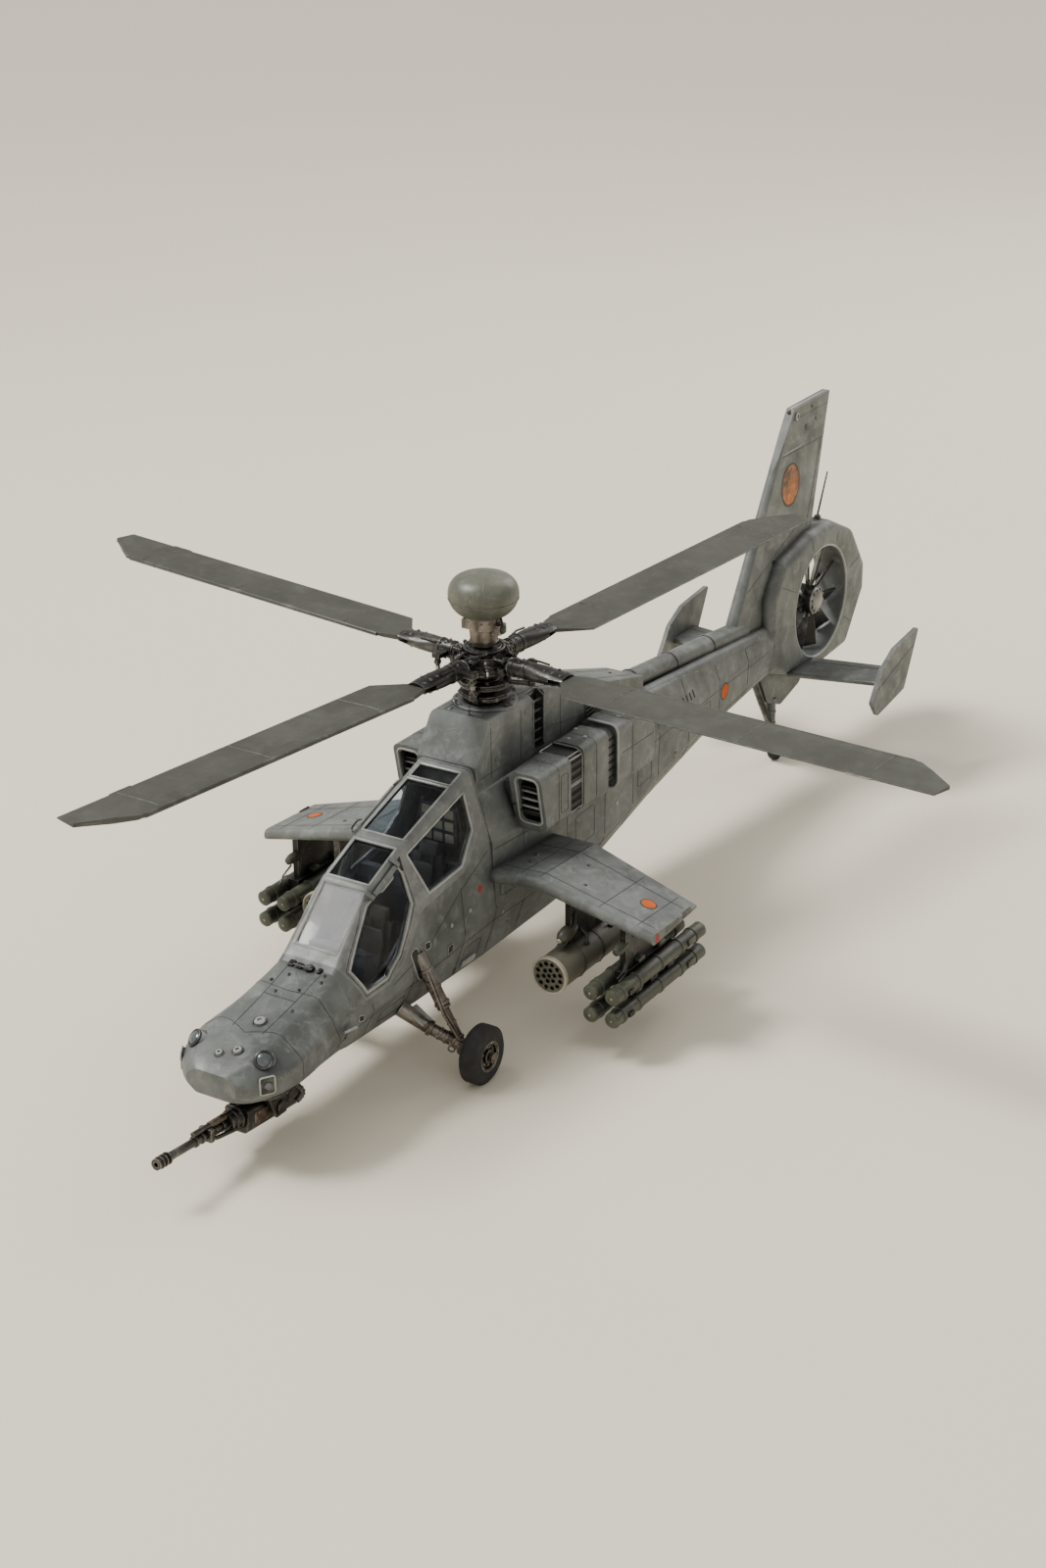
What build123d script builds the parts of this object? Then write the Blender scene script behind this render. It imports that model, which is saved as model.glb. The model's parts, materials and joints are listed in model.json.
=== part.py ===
"""Display model of an attack helicopter, as separate pieces, in millimetres.

Frame: +X is forward (the nose), +Y is port, +Z is up. The origin is on the ground
under the middle of the whole model, which stands on its three wheels.
"""

from build123d import *
from math import cos, hypot, radians, sin
import os

os.makedirs("parts", exist_ok=True)

# ---- Driving dimensions ----
ROTOR_RADIUS = 185.0
MAST_X = 52.0
HUB_Z = 120.0
FIRST_BLADE_DEG = -6.0
CONE_DEG = 1.2
WALL = 1.4
DOOR_GAP = 0.3
RUN = 0.05  # radial clearance of every shaft in its bore

MAST_R = 3.5
STANDPIPE_R = 2.0
GRIP_R = 3.2
GRIP_IN = 12.5
GRIP_OUT = 36.0
SPINDLE_R = 1.5
HORN_X = 15.0
HORN_Y = 7.0

FAN_X = -195.5
FAN_Z = 65.0
DUCT_R = 23.4
FAN_R = 22.5
SHROUD_HALF = 7.5

WHEEL_X = 119.5
HALF_TRACK = 40.7
TYRE_R = 10.25
TYRE_W = 7.0
AXLE_R = 1.2
TAIL_WHEEL_X = -172.0
TAIL_LEG_X = -166.0
TAIL_TYRE_R = 5.0

TURRET_X = 185.0
TRUNNION_Z = 13.0
GUN_REST_DEG = 4.8
MUZZLE = 53.7

NOSE_JOINT_X = 159.0
BOOM_JOINT_X = -45.0

# Outer sections of the hull: x, then (half width, height) of the top edge, the upper
# side, the lower side and the bottom edge.
NOSE = [
    (159.0, (11.0, 49.5), (15.8, 41.5), (17.5, 32.0), (12.0, 22.0)),
    (176.0, (11.8, 45.0), (18.6, 38.0), (19.4, 30.0), (12.6, 22.4)),
    (193.0, (12.0, 41.5), (20.0, 36.0), (20.2, 29.0), (12.6, 23.2)),
    (204.0, (10.0, 38.8), (16.4, 34.6), (16.4, 29.0), (10.2, 24.6)),
    (210.5, (6.0, 35.8), (9.6, 33.4), (9.6, 29.8), (6.2, 27.2)),
]
CABIN = [
    (159.0, (11.0, 49.5), (15.8, 41.5), (17.5, 32.0), (12.0, 22.0)),
    (156.0, (10.7, 52.0), (15.9, 42.5), (17.8, 32.5), (12.2, 21.6)),
    (136.0, (9.8, 70.5), (16.2, 45.0), (18.6, 34.0), (12.6, 21.0)),
    (117.0, (9.6, 78.5), (17.0, 59.5), (19.2, 36.0), (13.0, 20.5)),
    (77.0, (10.6, 91.0), (17.6, 66.0), (19.9, 40.0), (14.0, 20.5)),
]
BELLY = [
    (77.0, (12.0, 82.0), (18.6, 65.0), (19.9, 40.0), (14.0, 20.5)),
    (30.0, (13.0, 82.0), (19.6, 64.0), (20.0, 38.0), (14.0, 21.5)),
    (2.0, (12.5, 80.0), (18.8, 62.0), (18.6, 38.0), (13.0, 26.0)),
    (-45.0, (9.6, 76.0), (15.0, 62.0), (14.6, 43.0), (9.6, 33.5)),
]
BOOM = [
    (-45.0, (9.6, 76.0), (15.0, 62.0), (14.6, 43.0), (9.6, 33.5)),
    (-101.0, (6.6, 71.0), (10.4, 61.0), (10.0, 49.0), (6.6, 41.0)),
    (-156.0, (4.6, 67.0), (7.0, 60.5), (6.8, 51.0), (4.6, 45.5)),
]

XZ = Plane.XZ  # its local axes are +X and +Z, and its normal is -Y


def save(part, name):
    """Name a finished piece and write it to its own file."""
    part.label = name
    export_step(part, f"parts/{name}.step")


def outline(station, inset):
    """The closed outline of one hull section, drawn in by a wall thickness."""
    top, upper, lower, bottom = station[1:]
    right = [
        (bottom[0] - 0.7 * inset, bottom[1] + inset),
        (lower[0] - inset, lower[1]),
        (upper[0] - inset, upper[1]),
        (top[0] - 0.7 * inset, top[1] - inset),
    ]
    return right + [(-y, z) for y, z in reversed(right)]


def hull(stations, inset=0.0, corner=2.4, ruled=True):
    """A solid skinned over the hull sections."""
    with BuildPart() as skin:
        for station in stations:
            with BuildSketch(Plane((station[0], 0, 0), x_dir=(0, 1, 0), z_dir=(1, 0, 0))) as face:
                with BuildLine():
                    Polyline(*outline(station, inset), close=True)
                make_face()
                fillet(face.vertices(), corner - 0.5 * inset)
        loft(ruled=ruled)
    return skin.part


def side_prism(points, y_low, y_high, grow=0.0):
    """A side view outline, given as (x, z), made solid between two y values."""
    with BuildPart() as prism:
        with BuildSketch(XZ.offset(-y_high)):
            with BuildLine():
                Polyline(*points, close=True)
            make_face()
            if grow:
                offset(amount=grow, kind=Kind.INTERSECTION)
        extrude(amount=y_high - y_low)
    return prism.part


def block(low, high):
    """A plain box between two corners."""
    size = [b - a for a, b in zip(low, high)]
    middle = [(a + b) / 2 for a, b in zip(low, high)]
    with BuildPart() as box:
        with Locations(tuple(middle)):
            Box(*size)
    return box.part


def rod(start, end, radius, end_radius=None):
    """A round bar, or a cone, from one point to another."""
    axis = Vector(*end) - Vector(*start)
    with BuildPart() as bar:
        with BuildSketch(Plane(start, z_dir=axis)):
            Circle(radius)
        if end_radius is None:
            extrude(amount=axis.length)
        else:
            with BuildSketch(Plane(end, z_dir=axis)):
                Circle(end_radius)
            loft()
    return bar.part


def join(*solids):
    """One part from several solids, made outside any builder block."""
    with BuildPart() as whole:
        for solid in solids:
            add(solid)
    return whole.part


def cut(part, *tools):
    """A part less some tools."""
    with BuildPart() as rest:
        add(part)
        for tool in tools:
            add(tool, mode=Mode.SUBTRACT)
    return rest.part


def overlap(part, tool):
    """What a part and a tool have in common."""
    with BuildPart() as common:
        add(part)
        add(tool, mode=Mode.INTERSECT)
    return common.part


# ---- Hull skins, used by many pieces below ----
cabin_outer = hull(CABIN)
cabin_inner = hull(CABIN, WALL)
belly_outer = hull(BELLY)
belly_inner = hull(BELLY, WALL)
boom_outer = hull(BOOM)
boom_inner = hull(BOOM, WALL)

# ---- Canopy layout, as side view outlines (x, z) ----
CANOPY_ZONE = [
    (157.0, 50.6),
    (150.5, 38.0),
    (137.5, 38.6),
    (129.0, 43.5),
    (117.5, 57.0),
    (93.5, 60.5),
    (82.5, 70.0),
    (78.5, 73.0),
    (78.5, 110.0),
    (157.0, 110.0),
]
FRONT_WINDOW = [(139.0, 65.5), (153.0, 49.0), (149.0, 41.0), (138.5, 41.5), (131.5, 46.5), (121.8, 60.5), (121.8, 73.0)]
REAR_WINDOW = [(116.5, 75.0), (84.5, 84.5), (85.0, 72.5), (94.5, 63.5), (112.5, 61.5)]
ROOF_PANES = [(153.5, 137.2), (134.6, 119.6), (114.6, 88.4), (86.4, 80.6)]
PANE_HALF = 7.8
PANE_SIDE_FROM = 9.0

canopy_zone = side_prism(CANOPY_ZONE, -40, 40)
with BuildPart() as canopy_skin:
    add(cabin_outer)
    add(cabin_inner, mode=Mode.SUBTRACT)
    add(canopy_zone, mode=Mode.INTERSECT)
glass_skin = cut(hull(CABIN, 0.3), hull(CABIN, 1.1))
roof_cutters = [block((x_low, -PANE_HALF, 40), (x_high, PANE_HALF, 110)) for x_high, x_low in ROOF_PANES]


def window_cutter(points, side, grow=0.0):
    """The prism of one side window, for port (+1) or starboard (-1)."""
    if side > 0:
        return side_prism(points, PANE_SIDE_FROM, 40, grow)
    return side_prism(points, -40, -PANE_SIDE_FROM, grow)


# A door is the window, its own frame, and a hinge along its top edge.
DOOR_RIM = 1.5
DOORS = {"front": (FRONT_WINDOW, 1), "rear": (REAR_WINDOW, -1)}
PIN_R = 0.35
KNUCKLE_R = 0.85


def skin_y(x, z):
    """How far out the canopy's side face is at a point of the side view."""
    for front, back in zip(CABIN[1:], CABIN[2:]):
        if back[0] <= x <= front[0]:
            share = (front[0] - x) / (front[0] - back[0])
            top_y, top_z = (a + (b - a) * share for a, b in zip(front[1], back[1]))
            low_y, low_z = (a + (b - a) * share for a, b in zip(front[2], back[2]))
            return top_y + (low_y - top_y) * (top_z - z) / (top_z - low_z)


def hinge_line(points, side):
    """A door's pin, just outside the skin along its top edge."""
    ends = []
    for x, z in points:
        ends.append((x, side * (skin_y(x, z) + 0.95), z + 0.15))
    return ends


HINGE_LINES = {
    "front": hinge_line(((138.0, 67.6), (122.6, 74.3)), 1),
    "rear": hinge_line(((115.4, 76.9), (88.0, 85.0)), -1),
}
# The corner behind each hinge, as (x, z), is trimmed so that the door swings clear.
DOOR_CORNERS = {"front": (121.5, 71.0), "rear": (84.0, 82.5)}


def along(line, start, end):
    """The stretch of a line between two shares of its length."""
    a, b = Vector(*line[0]), Vector(*line[1])
    return a + (b - a) * start, a + (b - a) * end


frame = cut(canopy_skin.part, *roof_cutters)
lugs = []
for name, (window, side) in DOORS.items():
    frame = cut(frame, window_cutter(window, side, DOOR_RIM + DOOR_GAP))
    frame = cut(frame, window_cutter(window, -side))
    line = HINGE_LINES[name]
    frame = cut(frame, rod(*along(line, -0.02, 1.02), KNUCKLE_R + DOOR_GAP))
    lugs.append(rod(*along(line, 0.0, 1.0), PIN_R))
    for start, end in ((0.0, 0.08), (0.92, 1.0)):
        lug = rod(*along(line, start, end), KNUCKLE_R)
        foot_low, foot_high = along(line, start, end)
        rise = Vector(0, -side, 1)
        with BuildPart() as foot:
            with BuildSketch(Plane(foot_low, z_dir=foot_high - foot_low, x_dir=rise)):
                Rectangle(3.0, 1.2, align=(Align.MIN, Align.CENTER))
            extrude(amount=(foot_high - foot_low).length)
        lugs.append(cut(join(lug, foot.part), cabin_inner))
canopy_frame = join(frame, *lugs)
save(canopy_frame, "canopy_frame")

roof_panes = [overlap(glass_skin, cutter) for cutter in roof_cutters]
save(Compound(children=[pane.solids().sort_by(Axis.Z)[-1] for pane in roof_panes]), "windscreen_panes")
side_panes = [overlap(glass_skin, window_cutter(window, -side)) for window, side in DOORS.values()]
save(Compound(children=[pane.solids()[0] for pane in side_panes]), "side_panes")

for name, (window, side) in DOORS.items():
    line = HINGE_LINES[name]
    skin = overlap(cut(cabin_outer, cabin_inner), window_cutter(window, side, DOOR_RIM))
    leaf = cut(skin, window_cutter(window, side))
    leaf = cut(leaf, rod(*along(line, -0.05, 0.115), KNUCKLE_R + DOOR_GAP))
    leaf = cut(leaf, rod(*along(line, 0.885, 1.05), KNUCKLE_R + DOOR_GAP))
    corner_x, corner_z = DOOR_CORNERS[name]
    leaf = cut(leaf, block((corner_x - 4, -20, corner_z), (corner_x, 20, corner_z + 8)))
    knuckle = rod(*along(line, 0.12, 0.88), KNUCKLE_R)
    tail_low, tail_high = along(line, 0.3, 0.7)
    with BuildPart() as strap:
        with BuildSketch(Plane(tail_low, z_dir=tail_high - tail_low, x_dir=Vector(0, side * 0.28, -1))):
            with Locations((1.45, side * 0.6)):
                Rectangle(2.2, 2.0)
            with Locations((0.4, 0)):
                Rectangle(1.2, 0.8)
        extrude(amount=(tail_high - tail_low).length)
    leaf = join(leaf, knuckle, cut(strap.part, window_cutter(window, side)))
    leaf = cut(leaf, rod(*along(line, -0.1, 1.1), PIN_R + RUN))
    save(leaf, f"door_{name}")
    pane = overlap(glass_skin, window_cutter(window, side))
    save(pane, f"door_glass_{name}")

# ---- Fuselage shells ----
SOCKET_X = 34.0
SOCKET_R = 2.05
SOCKET_LOW = 20.0
SOCKET_DEPTH = 14.0
SOCKET_BOSS_R = 5.0
SCREW_SPOTS = [(100.0, 7.0), (100.0, -7.0), (10.0, 7.0), (10.0, -7.0)]
STRUT_TOP = (121.0, 17.0, 42.0)
ARM_ROOT = (127.0, 13.5, 23.5)

with BuildPart() as fuselage:
    add(cabin_outer)
    add(belly_outer)
    add(cabin_inner, mode=Mode.SUBTRACT)
    add(belly_inner, mode=Mode.SUBTRACT)
    add(canopy_zone, mode=Mode.SUBTRACT)
    add(block((76.0, -9.5, 25), (78.0, 9.5, 78)), mode=Mode.SUBTRACT)
    add(rod((SOCKET_X, 0, 10), (SOCKET_X, 0, 30), SOCKET_BOSS_R), mode=Mode.SUBTRACT)
    for x, y in SCREW_SPOTS:
        add(rod((x, y, 10), (x, y, 32), 1.0), mode=Mode.SUBTRACT)
for side, name in ((1, "left"), (-1, "right")):
    keep = Keep.TOP if side > 0 else Keep.BOTTOM
    with BuildPart() as half:
        add(fuselage.part)
        split(bisect_by=Plane((0, 0, 0), z_dir=(0, 1, 0)), keep=keep)
    save(half.part, f"fuselage_{name}")

with BuildPart() as stand_socket:
    add(rod((SOCKET_X, 0, SOCKET_LOW), (SOCKET_X, 0, SOCKET_LOW + SOCKET_DEPTH + 2.0), SOCKET_BOSS_R))
    add(rod((SOCKET_X, 0, SOCKET_LOW), (SOCKET_X, 0, SOCKET_LOW + SOCKET_DEPTH), SOCKET_R), mode=Mode.SUBTRACT)
save(stand_socket.part, "stand_socket")

screws = []
for x, y in SCREW_SPOTS:
    with BuildPart() as screw:
        add(rod((x, y, 23.0), (x, y, 32.0), 0.95))
        with Locations((x, y, 19.6)):
            Cylinder(1.8, 1.0)
        add(rod((x, y, 19.6), (x, y, 24.0), 0.95))
        with Locations((x, y, 19.0)):
            Box(2.4, 0.5, 0.8, mode=Mode.SUBTRACT)
    screws.append(cut(screw.part, cut(fuselage.part)))
save(Compound(children=screws), "belly_screws")

# ---- Nose and its sensor blisters ----
with BuildPart() as nose_shell:
    add(hull(NOSE, corner=3.4, ruled=False))
    add(hull(NOSE[:4], WALL, corner=3.4, ruled=False), mode=Mode.SUBTRACT)
    with BuildSketch(Plane.XY.offset(20.4)):
        with Locations((TURRET_X, 0)):
            Circle(10.5)
    extrude(amount=4.0)
    with Locations((TURRET_X, 0, 24)):
        Cylinder(2.0 + RUN, 20, mode=Mode.SUBTRACT)
nose_outer = hull(NOSE, corner=3.4, ruled=False)
save(nose_shell.part, "nose_shell")

blisters = []
for x, y, z in ((198.5, 13.0, 38.2), (198.5, -13.0, 38.2)):
    with BuildPart() as blister:
        with Locations((x, y, z)):
            Sphere(3.2)
    blisters.append(cut(blister.part, nose_outer))
save(Compound(children=blisters), "nose_sensors")

# ---- Cockpit ----
TUB_SIDE = [(150.0, 26.0), (150.0, 38.0), (132.0, 42.0), (118.0, 52.0), (84.0, 58.0), (84.0, 38.0), (110.0, 38.0), (110.0, 26.0)]
TUB_HOLLOW = [(148.5, 27.5), (148.5, 60.0), (85.5, 90.0), (85.5, 39.5), (111.5, 39.5), (111.5, 27.5)]
TUB_HALF = 12.6
with BuildPart() as cockpit_tub:
    add(side_prism(TUB_SIDE, -TUB_HALF, TUB_HALF))
    add(side_prism(TUB_HOLLOW, 1.3 - TUB_HALF, TUB_HALF - 1.3), mode=Mode.SUBTRACT)
    for x in (145.0, 114.0, 90.0):
        add(block((x, -8, 23.4), (x + 2, 8, 26.0 if x > 112 else 38.0)))
    for x, z in ((139.0, 45.0), (109.5, 61.0)):
        panel = [(x, z - 14), (x + 3, z - 14), (x + 4.5, z), (x + 3.5, z + 4), (x - 1, z + 3)]
        add(side_prism(panel, 1.3 - TUB_HALF, TUB_HALF - 1.3))
    for x, z in ((133.0, 27.0), (102.0, 39.0)):
        add(rod((x, 0, z), (x - 1, 0, z + 9), 0.6))
        with Locations((x - 1, 0, z + 9.5)):
            Sphere(1.1)
save(cockpit_tub.part, "cockpit_tub")

seats = []
for x, z in ((119.5, 27.5), (89.5, 39.5)):
    with BuildPart() as seat:
        cushion = [(x, z), (x + 9, z), (x + 9.5, z + 5), (x + 3.5, z + 5.5), (x - 0.2, z + 22), (x - 3.0, z + 21), (x - 1.5, z + 4)]
        add(side_prism(cushion, -5.5, 5.5))
        add(block((x - 2.8, -3, z + 20), (x - 0.6, 3, z + 26)))
    seats.append(seat.part)
save(Compound(children=seats), "crew_seats")

# ---- Mast pylon, gearbox and mast ----

def pylon_body(inset):
    """The doghouse over the gearbox, tapering back along the spine."""
    with BuildPart() as body:
        profile = [
            (77.0 - inset, 76.0),
            (76.4 - inset, 91.0),
            (67.0 - inset, 105.0 - inset),
            (34.0, 105.0 - inset),
            (6.0, 97.5 - inset),
            (-44.0 + inset, 83.0 - inset),
            (-44.0 + inset, 70.0),
        ]
        add(side_prism(profile, -12.0 + inset, 12.0 - inset))
        with BuildSketch(Plane.XY.offset(60)):
            with BuildLine():
                Polyline((90, 12.8), (2, 12.8), (-44, 8.0), (-44, -8.0), (2, -12.8), (90, -12.8), close=True)
            make_face()
            if inset:
                offset(amount=-inset, kind=Kind.INTERSECTION)
        extrude(amount=60, mode=Mode.INTERSECT)
    return body.part


with BuildPart() as pylon_solid:
    add(pylon_body(0.0))
    fillet(pylon_solid.edges().filter_by(Axis.X).group_by(Axis.Z)[-1], 2.2)
    for side in (1, -1):
        add(block((32.5, side * 12 - 3.5, 84), (40.5, side * 12 + 3.5, 110)), mode=Mode.SUBTRACT)
pylon_outer = pylon_solid.part
with BuildPart() as mast_pylon:
    add(pylon_outer)
    add(pylon_body(WALL), mode=Mode.SUBTRACT)
    for side in (1, -1):
        add(block((31.1, side * 12 - 4.9, 60), (41.9, side * 12 + 4.9, 110 - 1.0)))
    add(pylon_outer, mode=Mode.INTERSECT)
    add(cabin_outer, mode=Mode.SUBTRACT)
    add(belly_outer, mode=Mode.SUBTRACT)
    add(rod((MAST_X, 0, 95), (MAST_X, 0, 120), 6.3), mode=Mode.SUBTRACT)
save(mast_pylon.part, "mast_pylon")

with BuildPart() as main_gearbox:
    with BuildSketch(Plane.XY.offset(82.2)):
        with Locations((MAST_X, 0)):
            Circle(8.4)
    extrude(amount=20.0)
    with BuildSketch(Plane.XY.offset(82.2)):
        with Locations((MAST_X, 0)):
            Circle(6.2)
    extrude(amount=23.6)
    add(rod((MAST_X, 0, 92.0), (MAST_X, 0, 120), MAST_R + RUN), mode=Mode.SUBTRACT)
    for angle in (45, 225):
        x = MAST_X + 5.2 * cos(radians(angle))
        y = 5.2 * sin(radians(angle))
        add(rod((x, y, 104), (x, y, 110.2), 0.45))
save(main_gearbox.part, "main_gearbox")

DOME_LOW = 136.4
COLLAR_LOW = 132.4
DOME_TOP = 151.6
DOME_R = 12.2
with BuildPart() as standpipe:
    add(rod((MAST_X, 0, 92.0), (MAST_X, 0, 126.2), STANDPIPE_R))
    add(rod((MAST_X, 0, 126.2), (MAST_X, 0, COLLAR_LOW), 4.6, 5.2))
    add(rod((MAST_X, 0, COLLAR_LOW), (MAST_X, 0, DOME_LOW), 6.2))
    with Locations((MAST_X, 6.2, COLLAR_LOW), (MAST_X, -6.2, COLLAR_LOW)):
        Box(4.4, 3.0, 3.4)
save(standpipe.part, "standpipe")

with BuildPart() as sight_radome:
    with BuildSketch(XZ):
        with BuildLine():
            Line((0, DOME_LOW), (6.6, DOME_LOW))
            Spline(
                (6.6, DOME_LOW),
                (10.9, 139.8),
                (DOME_R, 143.8),
                (11.2, 147.8),
                (8.4, 150.2),
                (6.3, 150.82),
                (4.2, 151.25),
                (2.1, 151.51),
                (0, DOME_TOP),
            )
            Line((0, DOME_TOP), (0, DOME_LOW))
        make_face()
    revolve(axis=Axis.Z)
radome = sight_radome.part.moved(Location((MAST_X, 0, 0)))
save(radome, "sight_radome")

with BuildPart() as rotor_mast:
    add(rod((MAST_X, 0, 92.3), (MAST_X, 0, 125.8), MAST_R))
    add(rod((MAST_X, 0, 90), (MAST_X, 0, 130), STANDPIPE_R + RUN), mode=Mode.SUBTRACT)
save(rotor_mast.part, "rotor_mast")


# ---- Main rotor ----
def blade_frame(index):
    """A blade's own frame: origin in the hub, +X out along the blade, +Z up."""
    turn = radians(FIRST_BLADE_DEG + 90 * index)
    rise = radians(CONE_DEG)
    out = Vector(cos(turn) * cos(rise), sin(turn) * cos(rise), sin(rise))
    up = Vector(-cos(turn) * sin(rise), -sin(turn) * sin(rise), cos(rise))
    return Plane((MAST_X, 0, HUB_Z), x_dir=out, z_dir=up)


HUB_LOW = HUB_Z - 3.2
HUB_HIGH = HUB_Z + 3.2
with BuildPart() as rotor_hub:
    add(rod((MAST_X, 0, HUB_LOW), (MAST_X, 0, HUB_HIGH), 8.6))
    add(rod((MAST_X, 0, HUB_HIGH), (MAST_X, 0, HUB_HIGH + 1.6), 6.6, 5.4))
    for index in range(4):
        arm = rod((0, 0, 0), (11.6, 0, 0), 2.8)
        spindle = rod((0, 0, 0), (26.0, 0, 0), SPINDLE_R)
        add(blade_frame(index).location * arm)
        add(blade_frame(index).location * spindle)
    add(rod((MAST_X, 0, 100), (MAST_X, 0, 130), MAST_R), mode=Mode.SUBTRACT)
    for index in range(8):
        turn = radians(45 * index + 22.5 + FIRST_BLADE_DEG)
        x = MAST_X + 7.2 * cos(turn)
        y = 7.2 * sin(turn)
        add(rod((x, y, HUB_HIGH - 0.5), (x, y, HUB_HIGH + 0.8), 0.7))
save(rotor_hub.part, "rotor_hub")

CHORD_LEAD = 5.4
CHORD_TRAIL = -14.0
BLADE_IN = 33.0
BLADE_FULL = 44.0
with BuildPart() as grip:
    add(rod((GRIP_IN, 0, 0), (20.0, 0, 0), GRIP_R))
    with BuildSketch(Plane((20.0, 0, 0), x_dir=(0, 1, 0), z_dir=(1, 0, 0))):
        Ellipse(GRIP_R, GRIP_R)
    with BuildSketch(Plane((27.0, 0, 0), x_dir=(0, 1, 0), z_dir=(1, 0, 0))):
        Ellipse(4.4, 2.8)
    with BuildSketch(Plane((GRIP_OUT, 0, 0), x_dir=(0, 1, 0), z_dir=(1, 0, 0))):
        Ellipse(4.0, 1.9)
    loft()
    add(block((13.4, 1.0, -0.9), (16.6, HORN_Y + 1.2, 0.9)))
    add(rod((GRIP_IN - 1, 0, 0), (26.4, 0, 0), SPINDLE_R + RUN), mode=Mode.SUBTRACT)
    add(block((BLADE_IN - 2.3, -8, -0.75), (GRIP_OUT + 1, 8, 0.75)), mode=Mode.SUBTRACT)

with BuildPart() as blade:
    with BuildSketch(Plane((BLADE_IN, 0, 0), x_dir=(0, 1, 0), z_dir=(1, 0, 0))):
        with Locations((CHORD_LEAD - 0.75, 0)):
            Circle(0.75)
        with Locations((0.6, 0)):
            Circle(1.0)
        with Locations((CHORD_TRAIL + 0.2, 0)):
            Circle(0.2)
        make_hull()
    extrude(amount=ROTOR_RADIUS - BLADE_IN)
    with BuildSketch(Plane.XY.offset(-5)):
        with BuildLine():
            Polyline(
                (BLADE_IN, 2.6),
                (BLADE_FULL, CHORD_LEAD),
                (ROTOR_RADIUS - 17, CHORD_LEAD),
                (ROTOR_RADIUS, -6.0),
                (ROTOR_RADIUS - 1, CHORD_TRAIL),
                (BLADE_FULL, CHORD_TRAIL),
                (BLADE_IN + 2, -3.2),
                (BLADE_IN, -2.6),
                close=True,
            )
        make_face()
    extrude(amount=10, mode=Mode.INTERSECT)
    add(block((BLADE_IN - 2.0, -2.6, -0.7), (BLADE_IN + 1.0, 2.6, 0.7)))
root_slab = block((BLADE_IN - 10, -20, -0.7), (GRIP_OUT + 0.3, 20, 0.7))
inner_blade = overlap(blade.part, root_slab)
outer_blade = cut(blade.part, block((BLADE_IN - 10, -20, -5), (GRIP_OUT + 0.3, 20, 5)))
blade_piece = join(inner_blade, outer_blade)

for index in range(4):
    place = blade_frame(index).location
    save(grip.part.moved(place), f"blade_grip_{index + 1}")
    save(blade_piece.moved(place), f"rotor_blade_{index + 1}")

# ---- Swashplates and pitch links ----
with BuildPart() as swashplate_fixed:
    add(rod((MAST_X, 0, 107.4), (MAST_X, 0, 109.2), 8.6))
    add(rod((MAST_X, 0, 107.0), (MAST_X, 0, 110.0), MAST_R + 0.4), mode=Mode.SUBTRACT)
    for angle in (45, 225):
        x = MAST_X + 5.2 * cos(radians(angle))
        y = 5.2 * sin(radians(angle))
        add(rod((x, y, 106), (x, y, 112), 0.45 + RUN), mode=Mode.SUBTRACT)
save(swashplate_fixed.part, "swashplate_fixed")

links = []
with BuildPart() as swashplate_rotating:
    add(rod((MAST_X, 0, 111.6), (MAST_X, 0, 113.4), 9.0))
    for index in range(4):
        turn = radians(FIRST_BLADE_DEG + 90 * index)
        x = MAST_X + HORN_X * cos(turn) - HORN_Y * sin(turn)
        y = HORN_X * sin(turn) + HORN_Y * cos(turn)
        add(rod((x, y, 111.8), (x, y, 113.4), 1.3))
        with BuildSketch(Plane((MAST_X, 0, 111.9), x_dir=(x - MAST_X, y, 0), z_dir=(0, 0, 1))):
            Rectangle(hypot(x - MAST_X, y), 1.8, align=(Align.MIN, Align.CENTER))
        extrude(amount=1.2)
        links.append(rod((x, y, 113.4), (x, y, 119.0), 0.6))
    add(rod((MAST_X, 0, 108), (MAST_X, 0, 116), MAST_R + RUN), mode=Mode.SUBTRACT)
save(swashplate_rotating.part, "swashplate_rotating")
save(Compound(children=links), "pitch_links")

# ---- Engine nacelles ----

def rounded_box(x_low, x_high, y_low, y_high, z_low, z_high, radius, rake=0.0):
    """A box along X with rounded long edges; the front face can lean back downwards."""
    with BuildPart() as body:
        with BuildSketch(Plane((x_low, 0, 0), x_dir=(0, 1, 0), z_dir=(1, 0, 0))):
            with Locations(((y_low + y_high) / 2, (z_low + z_high) / 2)):
                RectangleRounded(y_high - y_low, z_high - z_low, radius)
        extrude(amount=x_high - x_low)
        if rake:
            wedge = [(x_high + 1, z_low - 1), (x_high - rake, z_low - 1), (x_high, z_high), (x_high + 1, z_high)]
            add(side_prism(wedge, y_low - 5, y_high + 5), mode=Mode.SUBTRACT)
    return body.part


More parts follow.
